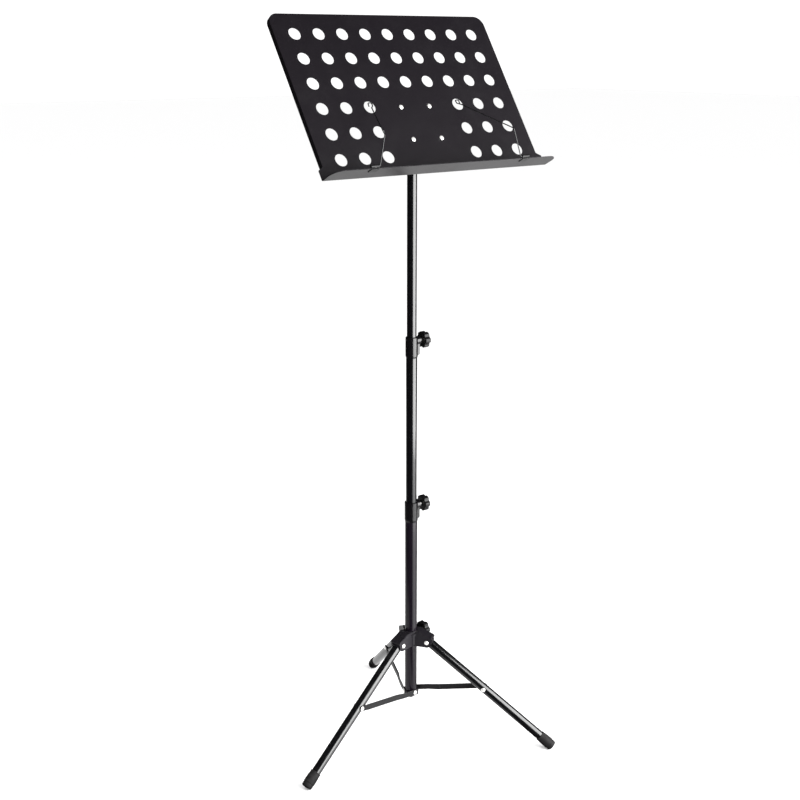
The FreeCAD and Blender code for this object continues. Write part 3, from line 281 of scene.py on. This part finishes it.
def scuff_group():
    """Fine lines drawn along a vertical tube by the collar that slides on it."""
    tree, board, start, end = new_group("slide scuffs", (("Fineness", 900.0), ("Run", 7.0)), ("Scuff",))
    coords = board.add("ShaderNodeTexCoord")
    split = board.add("ShaderNodeSeparateXYZ")
    board.wire(coords.outputs["Object"], split.inputs[0])
    stretched = board.add("ShaderNodeCombineXYZ")
    for axis, factor in (("X", "Fineness"), ("Y", "Fineness"), ("Z", "Run")):
        board.wire(board.maths("MULTIPLY", split.outputs[axis], start.outputs[factor]),
                   stretched.inputs[axis])
    lines = board.ramp(board.noise(stretched.outputs[0], 1.0, 3.0, 0.6), 0.60, 0.72)
    board.wire(lines, end.inputs["Scuff"])
    return tree


GROUPS = {
    "wear": edge_wear_group(),
    "grain": grain_group(),
    "handling": handling_group(),
    "dust": dust_group(),
    "scuffs": scuff_group(),
}

# ---------------------------------------------------------------- finishes


def effect(board, name, **values):
    """Places a shared group in a material with its own values."""
    node = board.add("ShaderNodeGroup", node_tree=GROUPS[name])
    for label, value in values.items():
        node.inputs[label].default_value = value
    return node


def finish(name, colour, speck_colour, roughness, metallic=0.0, grain=(0.0005, 6.0, 0.00002),
             wear=None, dust=0.0, marks=(0.05, 0.1), scuffs=0.0, coat=0.0, dust_size=0.012,
             shine=0.5):
    """A procedural finish.

    grain is (size, clump, depth); wear is (reach, bare colour, bare roughness, bare metallic);
    marks is (patch size, change of roughness); scuffs is how strongly slide marks show.
    """
    material = bpy.data.materials.new(name)
    material.use_nodes = True
    board = Board(material.node_tree)
    shader = material.node_tree.nodes["Principled BSDF"]
    shader.inputs["Coat Weight"].default_value = coat
    shader.inputs["Coat Roughness"].default_value = 0.08
    shader.inputs["Metallic"].default_value = metallic
    shader.inputs["Specular IOR Level"].default_value = shine

    texture = effect(board, "grain", Size=grain[0], Clump=grain[1])
    hands = effect(board, "handling", Size=marks[0])
    shade = board.blend(texture.outputs["Speck"], colour, speck_colour)
    rough = board.between(hands.outputs["Mark"], roughness, roughness + marks[1])
    metal = None

    if scuffs:
        lines = effect(board, "scuffs")
        amount = board.maths("MULTIPLY", lines.outputs["Scuff"], scuffs)
        shade = board.blend(amount, shade, tuple(min(1.0, 4 * value + 0.02) for value in speck_colour))
        rough = board.between(amount, rough, roughness + 0.25)
    if wear:
        reach, bare_colour, bare_roughness, bare_metallic = wear
        rubbed = effect(board, "wear", Reach=reach).outputs["Wear"]
        shade = board.blend(rubbed, shade, bare_colour)
        rough = board.between(rubbed, rough, bare_roughness)
        if bare_metallic != metallic:
            metal = board.between(rubbed, metallic, bare_metallic)
    if dust:
        settled = effect(board, "dust", Amount=dust, Size=dust_size).outputs["Dust"]
        shade = board.blend(settled, shade, DUST_COLOUR)
        rough = board.between(settled, rough, DUST_ROUGHNESS)

    board.wire(shade, shader.inputs["Base Color"])
    board.wire(rough, shader.inputs["Roughness"])
    if metal is not None:
        board.wire(metal, shader.inputs["Metallic"])
    bump = board.add("ShaderNodeBump")
    bump.inputs["Strength"].default_value = 1.0
    bump.inputs["Distance"].default_value = grain[2]
    board.wire(texture.outputs["Height"], bump.inputs["Height"])
    board.wire(bump.outputs["Normal"], shader.inputs["Normal"])
    return material


FINISHES = {
    "gloss_black": finish(
        "gloss black enamel", (0.0016, 0.0016, 0.0020), (0.0028, 0.0028, 0.0034), 0.15,
        grain=(0.0022, 3.0, 0.000005), wear=(0.0006, BARE_STEEL, 0.4, 1.0),
        marks=(0.035, 0.10), dust=0.05, coat=0.25),
    "sliding_black": finish(
        "gloss black enamel on the sliding tubes", (0.0016, 0.0015, 0.0021), (0.003, 0.0028, 0.0038), 0.17,
        grain=(0.0022, 3.0, 0.000005), wear=(0.0006, BARE_STEEL, 0.4, 1.0),
        marks=(0.045, 0.06), scuffs=0.03, coat=0.25),
    "mast_black": finish(
        "semi-gloss black enamel", (0.0040, 0.0026, 0.0050), (0.006, 0.0042, 0.0075), 0.20,
        grain=(0.0016, 3.0, 0.000014), wear=(0.0006, BARE_STEEL, 0.4, 1.0),
        marks=(0.04, 0.06), shine=0.30),
    "desk_black": finish(
        "matt black powder coat", (0.0032, 0.0020, 0.0036), (0.0055, 0.0040, 0.0060), 0.34,
        grain=(0.00055, 5.0, 0.000035), wear=(0.0005, (0.10, 0.10, 0.105), 0.45, 0.4),
        marks=(0.09, 0.04), dust=0.02, dust_size=0.02, shine=0.62),
    "brace_black": finish(
        "satin black paint on pressed steel", (0.0032, 0.003, 0.0036), (0.007, 0.0065, 0.0075), 0.34,
        grain=(0.0009, 4.0, 0.00002), wear=(0.0006, BARE_STEEL, 0.35, 1.0),
        marks=(0.03, 0.08), dust=0.06, shine=0.22),
    "clip_black": finish(
        "satin black paint on the small steel parts", (0.003, 0.003, 0.0034), (0.0065, 0.0065, 0.007), 0.32,
        grain=(0.0008, 4.0, 0.000018), wear=(0.0004, BARE_STEEL, 0.35, 1.0),
        marks=(0.02, 0.10), dust=0.05, shine=0.25),
    "moulded_black": finish(
        "spark-textured black nylon", (0.0060, 0.0050, 0.0074), (0.011, 0.0094, 0.0125), 0.34,
        grain=(0.0006, 5.0, 0.00004), wear=(0.0007, (0.05, 0.048, 0.052), 0.28, 0.0),
        marks=(0.02, 0.10), dust=0.06, shine=0.30),
    "collar_black": finish(
        "polished black nylon", (0.0020, 0.0017, 0.0023), (0.004, 0.0035, 0.0045), 0.20,
        grain=(0.0014, 4.0, 0.000008), wear=(0.0007, (0.03, 0.029, 0.031), 0.3, 0.0),
        marks=(0.02, 0.08), shine=0.45),
    "knob_black": finish(
        "smooth black nylon", (0.0026, 0.0025, 0.0028), (0.0055, 0.0055, 0.006), 0.32,
        grain=(0.0010, 5.0, 0.00002), wear=(0.0010, (0.04, 0.04, 0.042), 0.22, 0.0),
        marks=(0.012, 0.10), dust=0.03, shine=0.22),
    "bright_nickel": finish(
        "bright nickel plate", (0.80, 0.79, 0.77), (0.86, 0.85, 0.83), 0.30, metallic=0.6,
        grain=(0.0007, 3.0, 0.000008), wear=(0.0005, (0.92, 0.91, 0.88), 0.16, 0.6),
        marks=(0.006, 0.16)),
    "zinc_screw": finish(
        "bright zinc plate", (0.70, 0.69, 0.67), (0.80, 0.79, 0.77), 0.30, metallic=0.6,
        grain=(0.0005, 3.0, 0.000008), wear=(0.0003, (0.85, 0.84, 0.82), 0.20, 0.6),
        marks=(0.005, 0.18)),
    "brass": finish(
        "turned brass", (0.62, 0.43, 0.17), (0.74, 0.55, 0.26), 0.24, metallic=1.0,
        grain=(0.0004, 3.0, 0.000006), wear=(0.0003, (0.86, 0.70, 0.40), 0.16, 1.0),
        marks=(0.004, 0.18)),
    "foot_rubber": finish(
        "moulded rubber", (0.0075, 0.007, 0.0075), (0.014, 0.013, 0.013), 0.62,
        grain=(0.0008, 4.0, 0.00006), wear=(0.0012, (0.075, 0.07, 0.066), 0.85, 0.0),
        marks=(0.015, 0.14), dust=0.12, dust_size=0.006, shine=0.15),
    "wire_black": finish(
        "black wire", (0.006, 0.006, 0.007), (0.012, 0.012, 0.013), 0.28,
        grain=(0.0006, 3.0, 0.000006), marks=(0.006, 0.14)),
}

# ---------------------------------------------------------------- making pieces


def place_in_scene(name, mesh):
    piece = bpy.data.objects.new(name, mesh)
    bpy.context.scene.collection.objects.link(piece)
    return piece


def settle(piece, material, body, stands_for=()):
    """Gives a finished piece its finish, its body and the nodes it stands for."""
    piece.data.materials.clear()
    piece.data.materials.append(FINISHES[material])
    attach(piece, body)
    if stands_for:
        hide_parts(*stands_for)
    return piece


def from_millimetres(name, drawing, sharp=38.0):
    """Turns a drawing in millimetres into an object in metres, smooth but for its sharp edges."""
    bmesh.ops.recalc_face_normals(drawing, faces=drawing.faces)
    drawing.transform(Matrix.Scale(MM, 4))
    mesh = bpy.data.meshes.new(name)
    drawing.to_mesh(mesh)
    drawing.free()
    mesh.shade_smooth()
    mesh.set_sharp_from_angle(angle=math.radians(sharp))
    return place_in_scene(name, mesh)


def eased(points, steps=4):
    """An outline whose corners are rounded by their third number, each a short curve."""
    result = []
    for index, point in enumerate(points):
        here = Vector(point[:2])
        radius = point[2] if len(point) > 2 else 0.0
        if not radius:
            result.append(here)
            continue
        before = Vector(points[index - 1][:2]) - here
        after = Vector(points[(index + 1) % len(points)][:2]) - here
        start = here + before.normalized() * min(radius, 0.45 * before.length)
        stop = here + after.normalized() * min(radius, 0.45 * after.length)
        for step in range(steps + 1):
            t = step / steps
            result.append(start * (1 - t) ** 2 + here * (2 * t * (1 - t)) + stop * t ** 2)
    return result


def lathe(drawing, profile, place, around=64, outline=None):
    """Turns a closed profile of (radius, height, rounding) about Z.

    outline gives the radius by angle and height for shapes that aren't round.
    """
    rings = []
    for radius, height in (tuple(point) for point in eased(profile)):
        if radius < 1e-6:
            rings.append([drawing.verts.new(place @ Vector((0, 0, height)))] * around)
            continue
        ring = []
        for step in range(around):
            angle = 2 * math.pi * step / around
            reach = outline(angle, radius, height) if outline else radius
            point = Vector((reach * math.cos(angle), reach * math.sin(angle), height))
            ring.append(drawing.verts.new(place @ point))
        rings.append(ring)
    for first, second in zip(rings, rings[1:] + rings[:1]):
        for step in range(around):
            following = (step + 1) % around
            corners = []
            for vertex in (first[step], first[following], second[following], second[step]):
                if vertex not in corners:
                    corners.append(vertex)
            if len(corners) > 2:
                drawing.faces.new(corners)


def softened(node, width, material, body, angle=32.0):
    """A node's own shape with its edges eased, as paint, moulding or tumbling leaves them."""
    drawing = bmesh.new()
    drawing.from_mesh(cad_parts[node].data)
    bmesh.ops.remove_doubles(drawing, verts=drawing.verts, dist=2e-6)
    bmesh.ops.dissolve_limit(drawing, angle_limit=math.radians(0.4), verts=drawing.verts,
                             edges=drawing.edges, use_dissolve_boundaries=False)
    name = node + "_shape"
    mesh = bpy.data.meshes.new(name)
    drawing.to_mesh(mesh)
    drawing.free()
    mesh.shade_smooth()
    mesh.set_sharp_from_angle(angle=math.radians(angle))
    piece = place_in_scene(name, mesh)
    edges = piece.modifiers.new("eased edges", "BEVEL")
    edges.width = width * MM
    edges.segments = 2
    edges.limit_method = "ANGLE"
    edges.angle_limit = math.radians(angle)
    edges.use_clamp_overlap = True
    edges.miter_outer = "MITER_ARC"
    piece.modifiers.new("flat faces", "WEIGHTED_NORMAL").keep_sharp = False
    graph = bpy.context.evaluated_depsgraph_get()
    finished = bpy.data.meshes.new_from_object(piece.evaluated_get(graph))
    piece.modifiers.clear()
    piece.data = finished
    return settle(piece, material, body, (node,))


def dress(node, material):
    """A node whose shape is right gets its finish."""
    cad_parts[node].material_slots[0].material = FINISHES[material]


# ---------------------------------------------------------------- tubes


def tube(name, outside, low, high, place, material, body):
    """A drawn tube with its cut ends broken."""
    outer, inner = outside / 2, outside / 2 - TUBE_WALL
    drawing = bmesh.new()
    lathe(drawing, (
        (inner, low, LIP),
        (outer, low, LIP),
        (outer, high, LIP),
        (inner, high, LIP),
    ), place, around=96)
    piece = from_millimetres(name + "_drawn", drawing)
    return settle(piece, material, body, (name,))


def mast_tubes():
    for name, outside, body, material, slot in (
            ("lower_tube", LOWER_D, "lower_mast", "mast_black", "mast_black"),
            ("middle_tube", MIDDLE_D, "middle_mast", "sliding_black", "gloss_black"),
            ("upper_tube", UPPER_D, "upper_mast", "sliding_black", "gloss_black")):
        tube(name, outside, bottom_of(name), top_of(name), MAST, material, body)


# ---------------------------------------------------------------- knobs and screws


def lobed_reach(angle, radius, height):
    """Radius of the knob's rim: scallops between six lobes, blended at their corners."""
    weight = max(0.0, min(1.0, (radius - 7.5) / (KNOB_RADIUS - 9.0)))
    nearest = (angle + math.pi / 6) % (math.pi / 3) - math.pi / 6
    across = SCALLOP_CENTRE * math.sin(nearest)
    rim = KNOB_RADIUS
    if abs(across) < SCALLOP_RADIUS:
        hollow = SCALLOP_CENTRE * math.cos(nearest) - math.sqrt(SCALLOP_RADIUS ** 2 - across ** 2)
        softness = 1.6
        share = max(softness - abs(hollow - rim), 0.0) / softness
        rim = min(hollow, rim) - share ** 2 * softness / 4
    return radius + weight * (rim - KNOB_RADIUS)


def star_knob(name, place, body, bore=SCREW_RADIUS + SLIP, grip=GRIP):
    """A moulded knob: six lobes, a raised face ring round a dish, and a short neck on the screw."""
    drawing = bmesh.new()
    rim, thick = KNOB_RADIUS, KNOB_THICK
    lathe(drawing, (
        (bore, -1.2),
        (5.2, -1.2, 0.5),
        (5.8, 0, 0.4),
        (9.0, 0),
        (rim - 2.6, 0),
        (rim, 0, 1.7),
        (rim, thick * 0.3),
        (rim, thick * 0.7),
        (rim, thick - 0.6, 2.0),
        (rim - 4.0, thick, 1.0),
        (9.4, thick, 0.5),
        (8.6, thick - 0.7, 0.5),
        (7.6, thick - 0.7, 0.5),
        (6.9, thick - 0.1, 0.4),
        (5.2, thick - 0.1, 0.6),
        (4.0, thick - 1.3, 0.8),
        (0, thick - 1.5),
        (0, grip),
        (bore, grip),
    ), place, around=144, outline=lobed_reach)
    piece = from_millimetres(name + "_star", drawing, 50.0)
    return settle(piece, "knob_black", body, (name,))


def thread_reach(angle, radius, height):
    """Radius of a screw: a V thread that climbs one pitch a turn, cut on the full-size radius only, so the
    bevelled tip stays plain.
    """
    if radius < SCREW_RADIUS - 0.01:
        return radius
    phase = (height / SCREW_PITCH - angle / (2 * math.pi)) % 1.0
    return radius - THREAD_DEPTH * abs(2 * phase - 1)


def clamp_screw(name, length, place, body):
    """A threaded screw with a bevelled tip."""
    steps = int(length / SCREW_PITCH * 8)
    rings = [(SCREW_RADIUS, 0.8 + (length - 0.8) * step / steps) for step in range(steps + 1)]
    drawing = bmesh.new()
    lathe(drawing, [(0, 0), (SCREW_RADIUS - 0.9, 0)] + rings + [(0, length)],
          place, around=24, outline=thread_reach)
    piece = from_millimetres(name + "_thread", drawing, 60.0)
    return settle(piece, "zinc_screw", body, (name,))


def thumb_screw(name, place, tip, lug_end, body):
    """One clamp's knob and screw, along +X of its place."""
    along = place @ turn(90, "Y")
    knob_start = lug_end + KNOB_FROM_LUG
    clamp_screw(name + "_screw", knob_start + GRIP - tip, along @ shift(0, 0, tip), body)
    star_knob(name + "_knob", along @ shift(0, 0, knob_start), body)
    dress(name + "_insert", "brass")


def collars_and_clamps():
    for name, tube_d, inner_d, body in (("lower", LOWER_D, MIDDLE_D, "lower_mast"),
                                        ("upper", MIDDLE_D, UPPER_D, "middle_mast")):
        softened(name + "_collar", 0.5, "collar_black", body)
        screw_z = (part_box(name + "_screw")[0].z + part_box(name + "_screw")[1].z) / (2 * MM)
        thumb_screw(name, MAST @ shift(0, 0, screw_z), inner_d / 2 + SCREW_GAP,
                    tube_d / 2 + LUG_REACH, name + "_clamp")
    back = leg_side(0) @ turn(180, "Z") @ shift(0, 0, HUB_SCREW_Z)
    thumb_screw("hub", back, LOWER_D / 2 + SCREW_GAP, HUB_BOSS_END, "hub_clamp")
    star_knob("tilt_knob", desk_place() @ shift(EAR_OUTSIDE + TILT_KNOB_GAP) @ turn(90, "Y"), "tilt_clamp",
              TILT_BOLT_BORE, TILT_GRIP)


# ---------------------------------------------------------------- rivets


def rivet_tree():
    """Sets a two-headed rivet on every point, along the point's own axis."""
    tree = bpy.data.node_groups.new("rivets", "GeometryNodeTree")
    sockets = {}
    for label, kind in (("Points", "NodeSocketGeometry"), ("Head Radius", "NodeSocketFloat"),
                        ("Dome", "NodeSocketFloat"), ("Shank Radius", "NodeSocketFloat"),
                        ("Shank Length", "NodeSocketFloat"), ("Finish", "NodeSocketMaterial")):
        socket = tree.interface.new_socket(label, in_out="INPUT", socket_type=kind)
        sockets[label] = socket.identifier
    tree.interface.new_socket("Rivets", in_out="OUTPUT", socket_type="NodeSocketGeometry")
    board = Board(tree)
    start, end = board.add("NodeGroupInput"), board.add("NodeGroupOutput")

    shank = board.add("GeometryNodeMeshCylinder")
    shank.inputs["Vertices"].default_value = 24
    board.wire(start.outputs["Shank Radius"], shank.inputs["Radius"])
    board.wire(start.outputs["Shank Length"], shank.inputs["Depth"])
    half = board.maths("MULTIPLY", start.outputs["Shank Length"], 0.5)
    parts = board.add("GeometryNodeJoinGeometry")
    board.wire(shank.outputs["Mesh"], parts.inputs[0])
    for sign in (1.0, -1.0):
        board.wire(rivet_head(board, start, half, sign), parts.inputs[0])

    axis = board.add("GeometryNodeInputNamedAttribute", data_type="FLOAT_VECTOR")
    axis.inputs["Name"].default_value = "axis"
    aim = board.add("FunctionNodeAlignRotationToVector", axis="Z")
    board.wire(axis.outputs["Attribute"], aim.inputs["Vector"])
    spread = board.add("GeometryNodeInstanceOnPoints")
    board.wire(start.outputs["Points"], spread.inputs["Points"])
    board.wire(parts.outputs[0], spread.inputs["Instance"])
    board.wire(aim.outputs[0], spread.inputs["Rotation"])
    real = board.add("GeometryNodeRealizeInstances")
    board.wire(spread.outputs[0], real.inputs[0])
    smooth = board.add("GeometryNodeSetShadeSmooth")
    board.wire(real.outputs[0], smooth.inputs[0])
    coated = board.add("GeometryNodeSetMaterial")
    board.wire(smooth.outputs[0], coated.inputs[0])
    board.wire(start.outputs["Finish"], coated.inputs["Material"])
    board.wire(coated.outputs[0], end.inputs[0])
    return tree, sockets


def rivet_head(board, start, half, sign):
    """A low dome at one end of the shank, flat on the side that meets the sheet."""
    ball = board.add("GeometryNodeMeshUVSphere")
    ball.inputs["Segments"].default_value = 36
    ball.inputs["Rings"].default_value = 18
    ball.inputs["Radius"].default_value = 1.0
    spot = board.add("ShaderNodeSeparateXYZ")
    board.wire(board.add("GeometryNodeInputPosition").outputs[0], spot.inputs[0])
    lifted = board.add("ShaderNodeCombineXYZ")
    board.wire(spot.outputs["X"], lifted.inputs["X"])
    board.wire(spot.outputs["Y"], lifted.inputs["Y"])
    board.wire(board.maths("MAXIMUM", spot.outputs["Z"], 0.0), lifted.inputs["Z"])
    flat_backed = board.add("GeometryNodeSetPosition")
    board.wire(ball.outputs["Mesh"], flat_backed.inputs["Geometry"])
    board.wire(lifted.outputs[0], flat_backed.inputs["Position"])
    size = board.add("ShaderNodeCombineXYZ")
    board.wire(start.outputs["Head Radius"], size.inputs["X"])
    board.wire(start.outputs["Head Radius"], size.inputs["Y"])
    board.wire(start.outputs["Dome"], size.inputs["Z"])
    where = board.add("ShaderNodeCombineXYZ")
    board.wire(board.maths("MULTIPLY", half, sign), where.inputs["Z"])
    dome = board.add("GeometryNodeTransform")
    if sign < 0:
        dome.inputs["Rotation"].default_value = (math.pi, 0.0, 0.0)
    board.wire(flat_backed.outputs["Geometry"], dome.inputs["Geometry"])
    board.wire(where.outputs[0], dome.inputs["Translation"])
    board.wire(size.outputs[0], dome.inputs["Scale"])
    return dome.outputs[0]


RIVET_TREE, RIVET_SOCKETS = rivet_tree()


def rivets(name, spots, body, shank_radius):
    """Rivets between pairs of points, in millimetres, as one plain mesh."""
    middles = [(first + last) / 2 * MM for first, last in spots]
    mesh = bpy.data.meshes.new(name + "_points")
    mesh.from_pydata(middles, [], [])
    axis = mesh.attributes.new("axis", "FLOAT_VECTOR", "POINT")
    for item, (first, last) in zip(axis.data, spots):
        item.vector = (last - first).normalized()
    piece = place_in_scene(name + "_set", mesh)
    setter = piece.modifiers.new("rivets", "NODES")
    setter.node_group = RIVET_TREE
    length = (spots[0][1] - spots[0][0]).length
    for label, value in (("Head Radius", RIVET_HEAD * MM), ("Dome", RIVET_DOME * MM),
                         ("Shank Radius", shank_radius * MM), ("Shank Length", length * MM),
                         ("Finish", FINISHES["bright_nickel"])):
        setter[RIVET_SOCKETS[label]] = value
    graph = bpy.context.evaluated_depsgraph_get()
    finished = bpy.data.meshes.new_from_object(piece.evaluated_get(graph))
    piece.modifiers.clear()
    piece.data = finished
    return settle(piece, "bright_nickel", body, (name,))


def all_rivets():
    pivots, spider_pins = [], []
    for index in range(3):
        place = leg_place(index)
        pivots.append([place @ Vector((0, side * FORK_HALF, 0)) for side in (-1, 1)])
        side = leg_side(index)
        spider_pins.append([side @ Vector((BRACE_R, reach, BRACE_Z))
                            for reach in (SPIDER_RIVET_IN, SPIDER_RIVET_OUT)])
    rivets("leg_pivot_rivets", pivots, "hub", PIVOT_PIN)
    rivets("spider_rivets", spider_pins, "lower_mast", SPIDER_PIN)
    desk = desk_place()
    front, back = -FACE_FROM_HINGE, -FACE_FROM_HINGE + SHEET + PLATE
    corners = [(x, z) for x in (RIVET_X, -RIVET_X) for z in (RIVET_Z, -RIVET_Z)]
    rivets("desk_rivets", [[desk @ Vector((x, y, z)) for y in (front, back)] for x, z in corners],
           "desk", DESK_PIN)


# ---------------------------------------------------------------- base


def foot(index):
    """A moulded rubber cup on the leg's end: a pad, a waist ring and a thin rolled mouth."""
    drawing = bmesh.new()
    bore = LEG_D / 2 + SLIP
    place = leg_place(index) @ shift(0, 0, -LEG_LENGTH)
    lathe(drawing, (
        (0, 0),
        (10.05, 0, 3.0),
        (10.75, 7.2, 0.5),
        (10.3, 7.9, 0.3),
        (10.3, 8.7, 0.3),
        (11.2, 9.6, 0.7),
        (11.2, 21.0, 3.0),
        (10.35, 31.4, 0.5),
        (10.75, 32.2, 0.4),
        (10.75, FOOT_LENGTH, 0.4),
        (bore, FOOT_LENGTH, 0.3),
        (bore, LEG_END_GAP),
        (0, LEG_END_GAP),
    ), place, around=96)
    for vertex in drawing.verts:
        vertex.co.z = max(vertex.co.z, 0.0)
    name = "foot_" + SIDES[index]
    settle(from_millimetres(name + "_cup", drawing), "foot_rubber", "leg_" + SIDES[index],
           (name,))


def base():
    softened("hub", 0.35, "moulded_black", "hub")
    softened("spider", 0.6, "moulded_black", "lower_mast")
    for index, side in enumerate(SIDES):
        tube("leg_tube_" + side, LEG_D, -LEG_LENGTH + LEG_END_GAP, -LEG_START, leg_place(index),
             "gloss_black", "leg_" + side)
        softened("leg_knuckle_" + side, 0.35, "moulded_black", "leg_" + side)
        softened("brace_" + side, 0.4, "brace_black", "brace_" + side)
        foot(index)
        dress("leg_stud_" + side, "bright_nickel")
        dress("brace_rivet_" + side, "bright_nickel")


# ---------------------------------------------------------------- desk


def desk():
    softened("desk_panel", 0.32, "desk_black", "desk")
    softened("desk_bracket", 0.4, "clip_black", "desk")
    softened("tilt_head", 0.6, "moulded_black", "tilt_head")
    dress("tilt_bolt", "bright_nickel")
    for side in ("left", "right"):
        softened("page_clip_" + side, 0.15, "clip_black", "desk")
        dress("page_arm_" + side, "wire_black")


# ---------------------------------------------------------------- studio


def floor():
    """A wide pale sweep of studio paper."""
    mesh = bpy.data.meshes.new("floor")
    half = FLOOR_HALF
    mesh.from_pydata([(-half, -half, 0), (half, -half, 0), (half, half, 0), (-half, half, 0)],
                     [], [(0, 1, 2, 3)])
    sheet = place_in_scene("studio_floor", mesh)
    material = bpy.data.materials.new("pale studio paper")
    material.use_nodes = True
    board = Board(material.node_tree)
    shader = material.node_tree.nodes["Principled BSDF"]
    fibre = board.noise(board.add("ShaderNodeTexCoord").outputs["Object"], 60.0, 4.0)
    tone = board.blend(fibre, PAPER_DARK, PAPER_LIGHT)
    board.wire(tone, shader.inputs["Base Color"])
    shader.inputs["Roughness"].default_value = 0.8
    shader.inputs["Specular IOR Level"].default_value = 0.1
    mesh.materials.append(material)
    sheet.visible_glossy = False


def softbox(name, place, aim, width, height, power):
    """A rectangular soft light at a place, turned to face a point."""
    data = bpy.data.lights.new(name, "AREA")
    data.shape = "RECTANGLE"
    data.size, data.size_y = width, height
    data.energy = power
    light = bpy.data.objects.new(name, data)
    light.location = place
    light.rotation_euler = (Vector(aim) - Vector(place)).to_track_quat("-Z", "Y").to_euler()
    light.visible_camera = False
    bpy.context.scene.collection.objects.link(light)


def studio():
    world = bpy.data.worlds.new("studio")
    bpy.context.scene.world = world
    world.use_nodes = True
    board = Board(world.node_tree)
    backdrop = world.node_tree.nodes["Background"]
    backdrop.inputs["Color"].default_value = (1.0, 1.0, 1.0, 1.0)
    glossy = board.add("ShaderNodeLightPath").outputs["Is Glossy Ray"]
    board.wire(board.between(glossy, ROOM, REFLECTED_ROOM), backdrop.inputs["Strength"])
    for name, place, aim, width, height, power in SOFTBOXES:
        softbox(name, place, aim, width, height, power)


def camera():
    data = bpy.data.cameras.new("camera")
    data.lens = LENS
    data.sensor_width = 36.0
    data.clip_end = 100.0
    view = bpy.data.objects.new("camera", data)
    view.location = CAMERA_PLACE
    view.rotation_euler = (math.radians(90.0 - CAMERA_DOWN), 0.0, math.radians(CAMERA_YAW))
    bpy.context.scene.collection.objects.link(view)
    bpy.context.scene.camera = view


# ---------------------------------------------------------------- the whole scene

camera()
mast_tubes()
collars_and_clamps()
all_rivets()
base()
desk()
dress("middle_guide", "moulded_black")
dress("upper_guide", "moulded_black")
floor()
studio()
bpy.context.scene.view_settings.view_transform = "Standard"
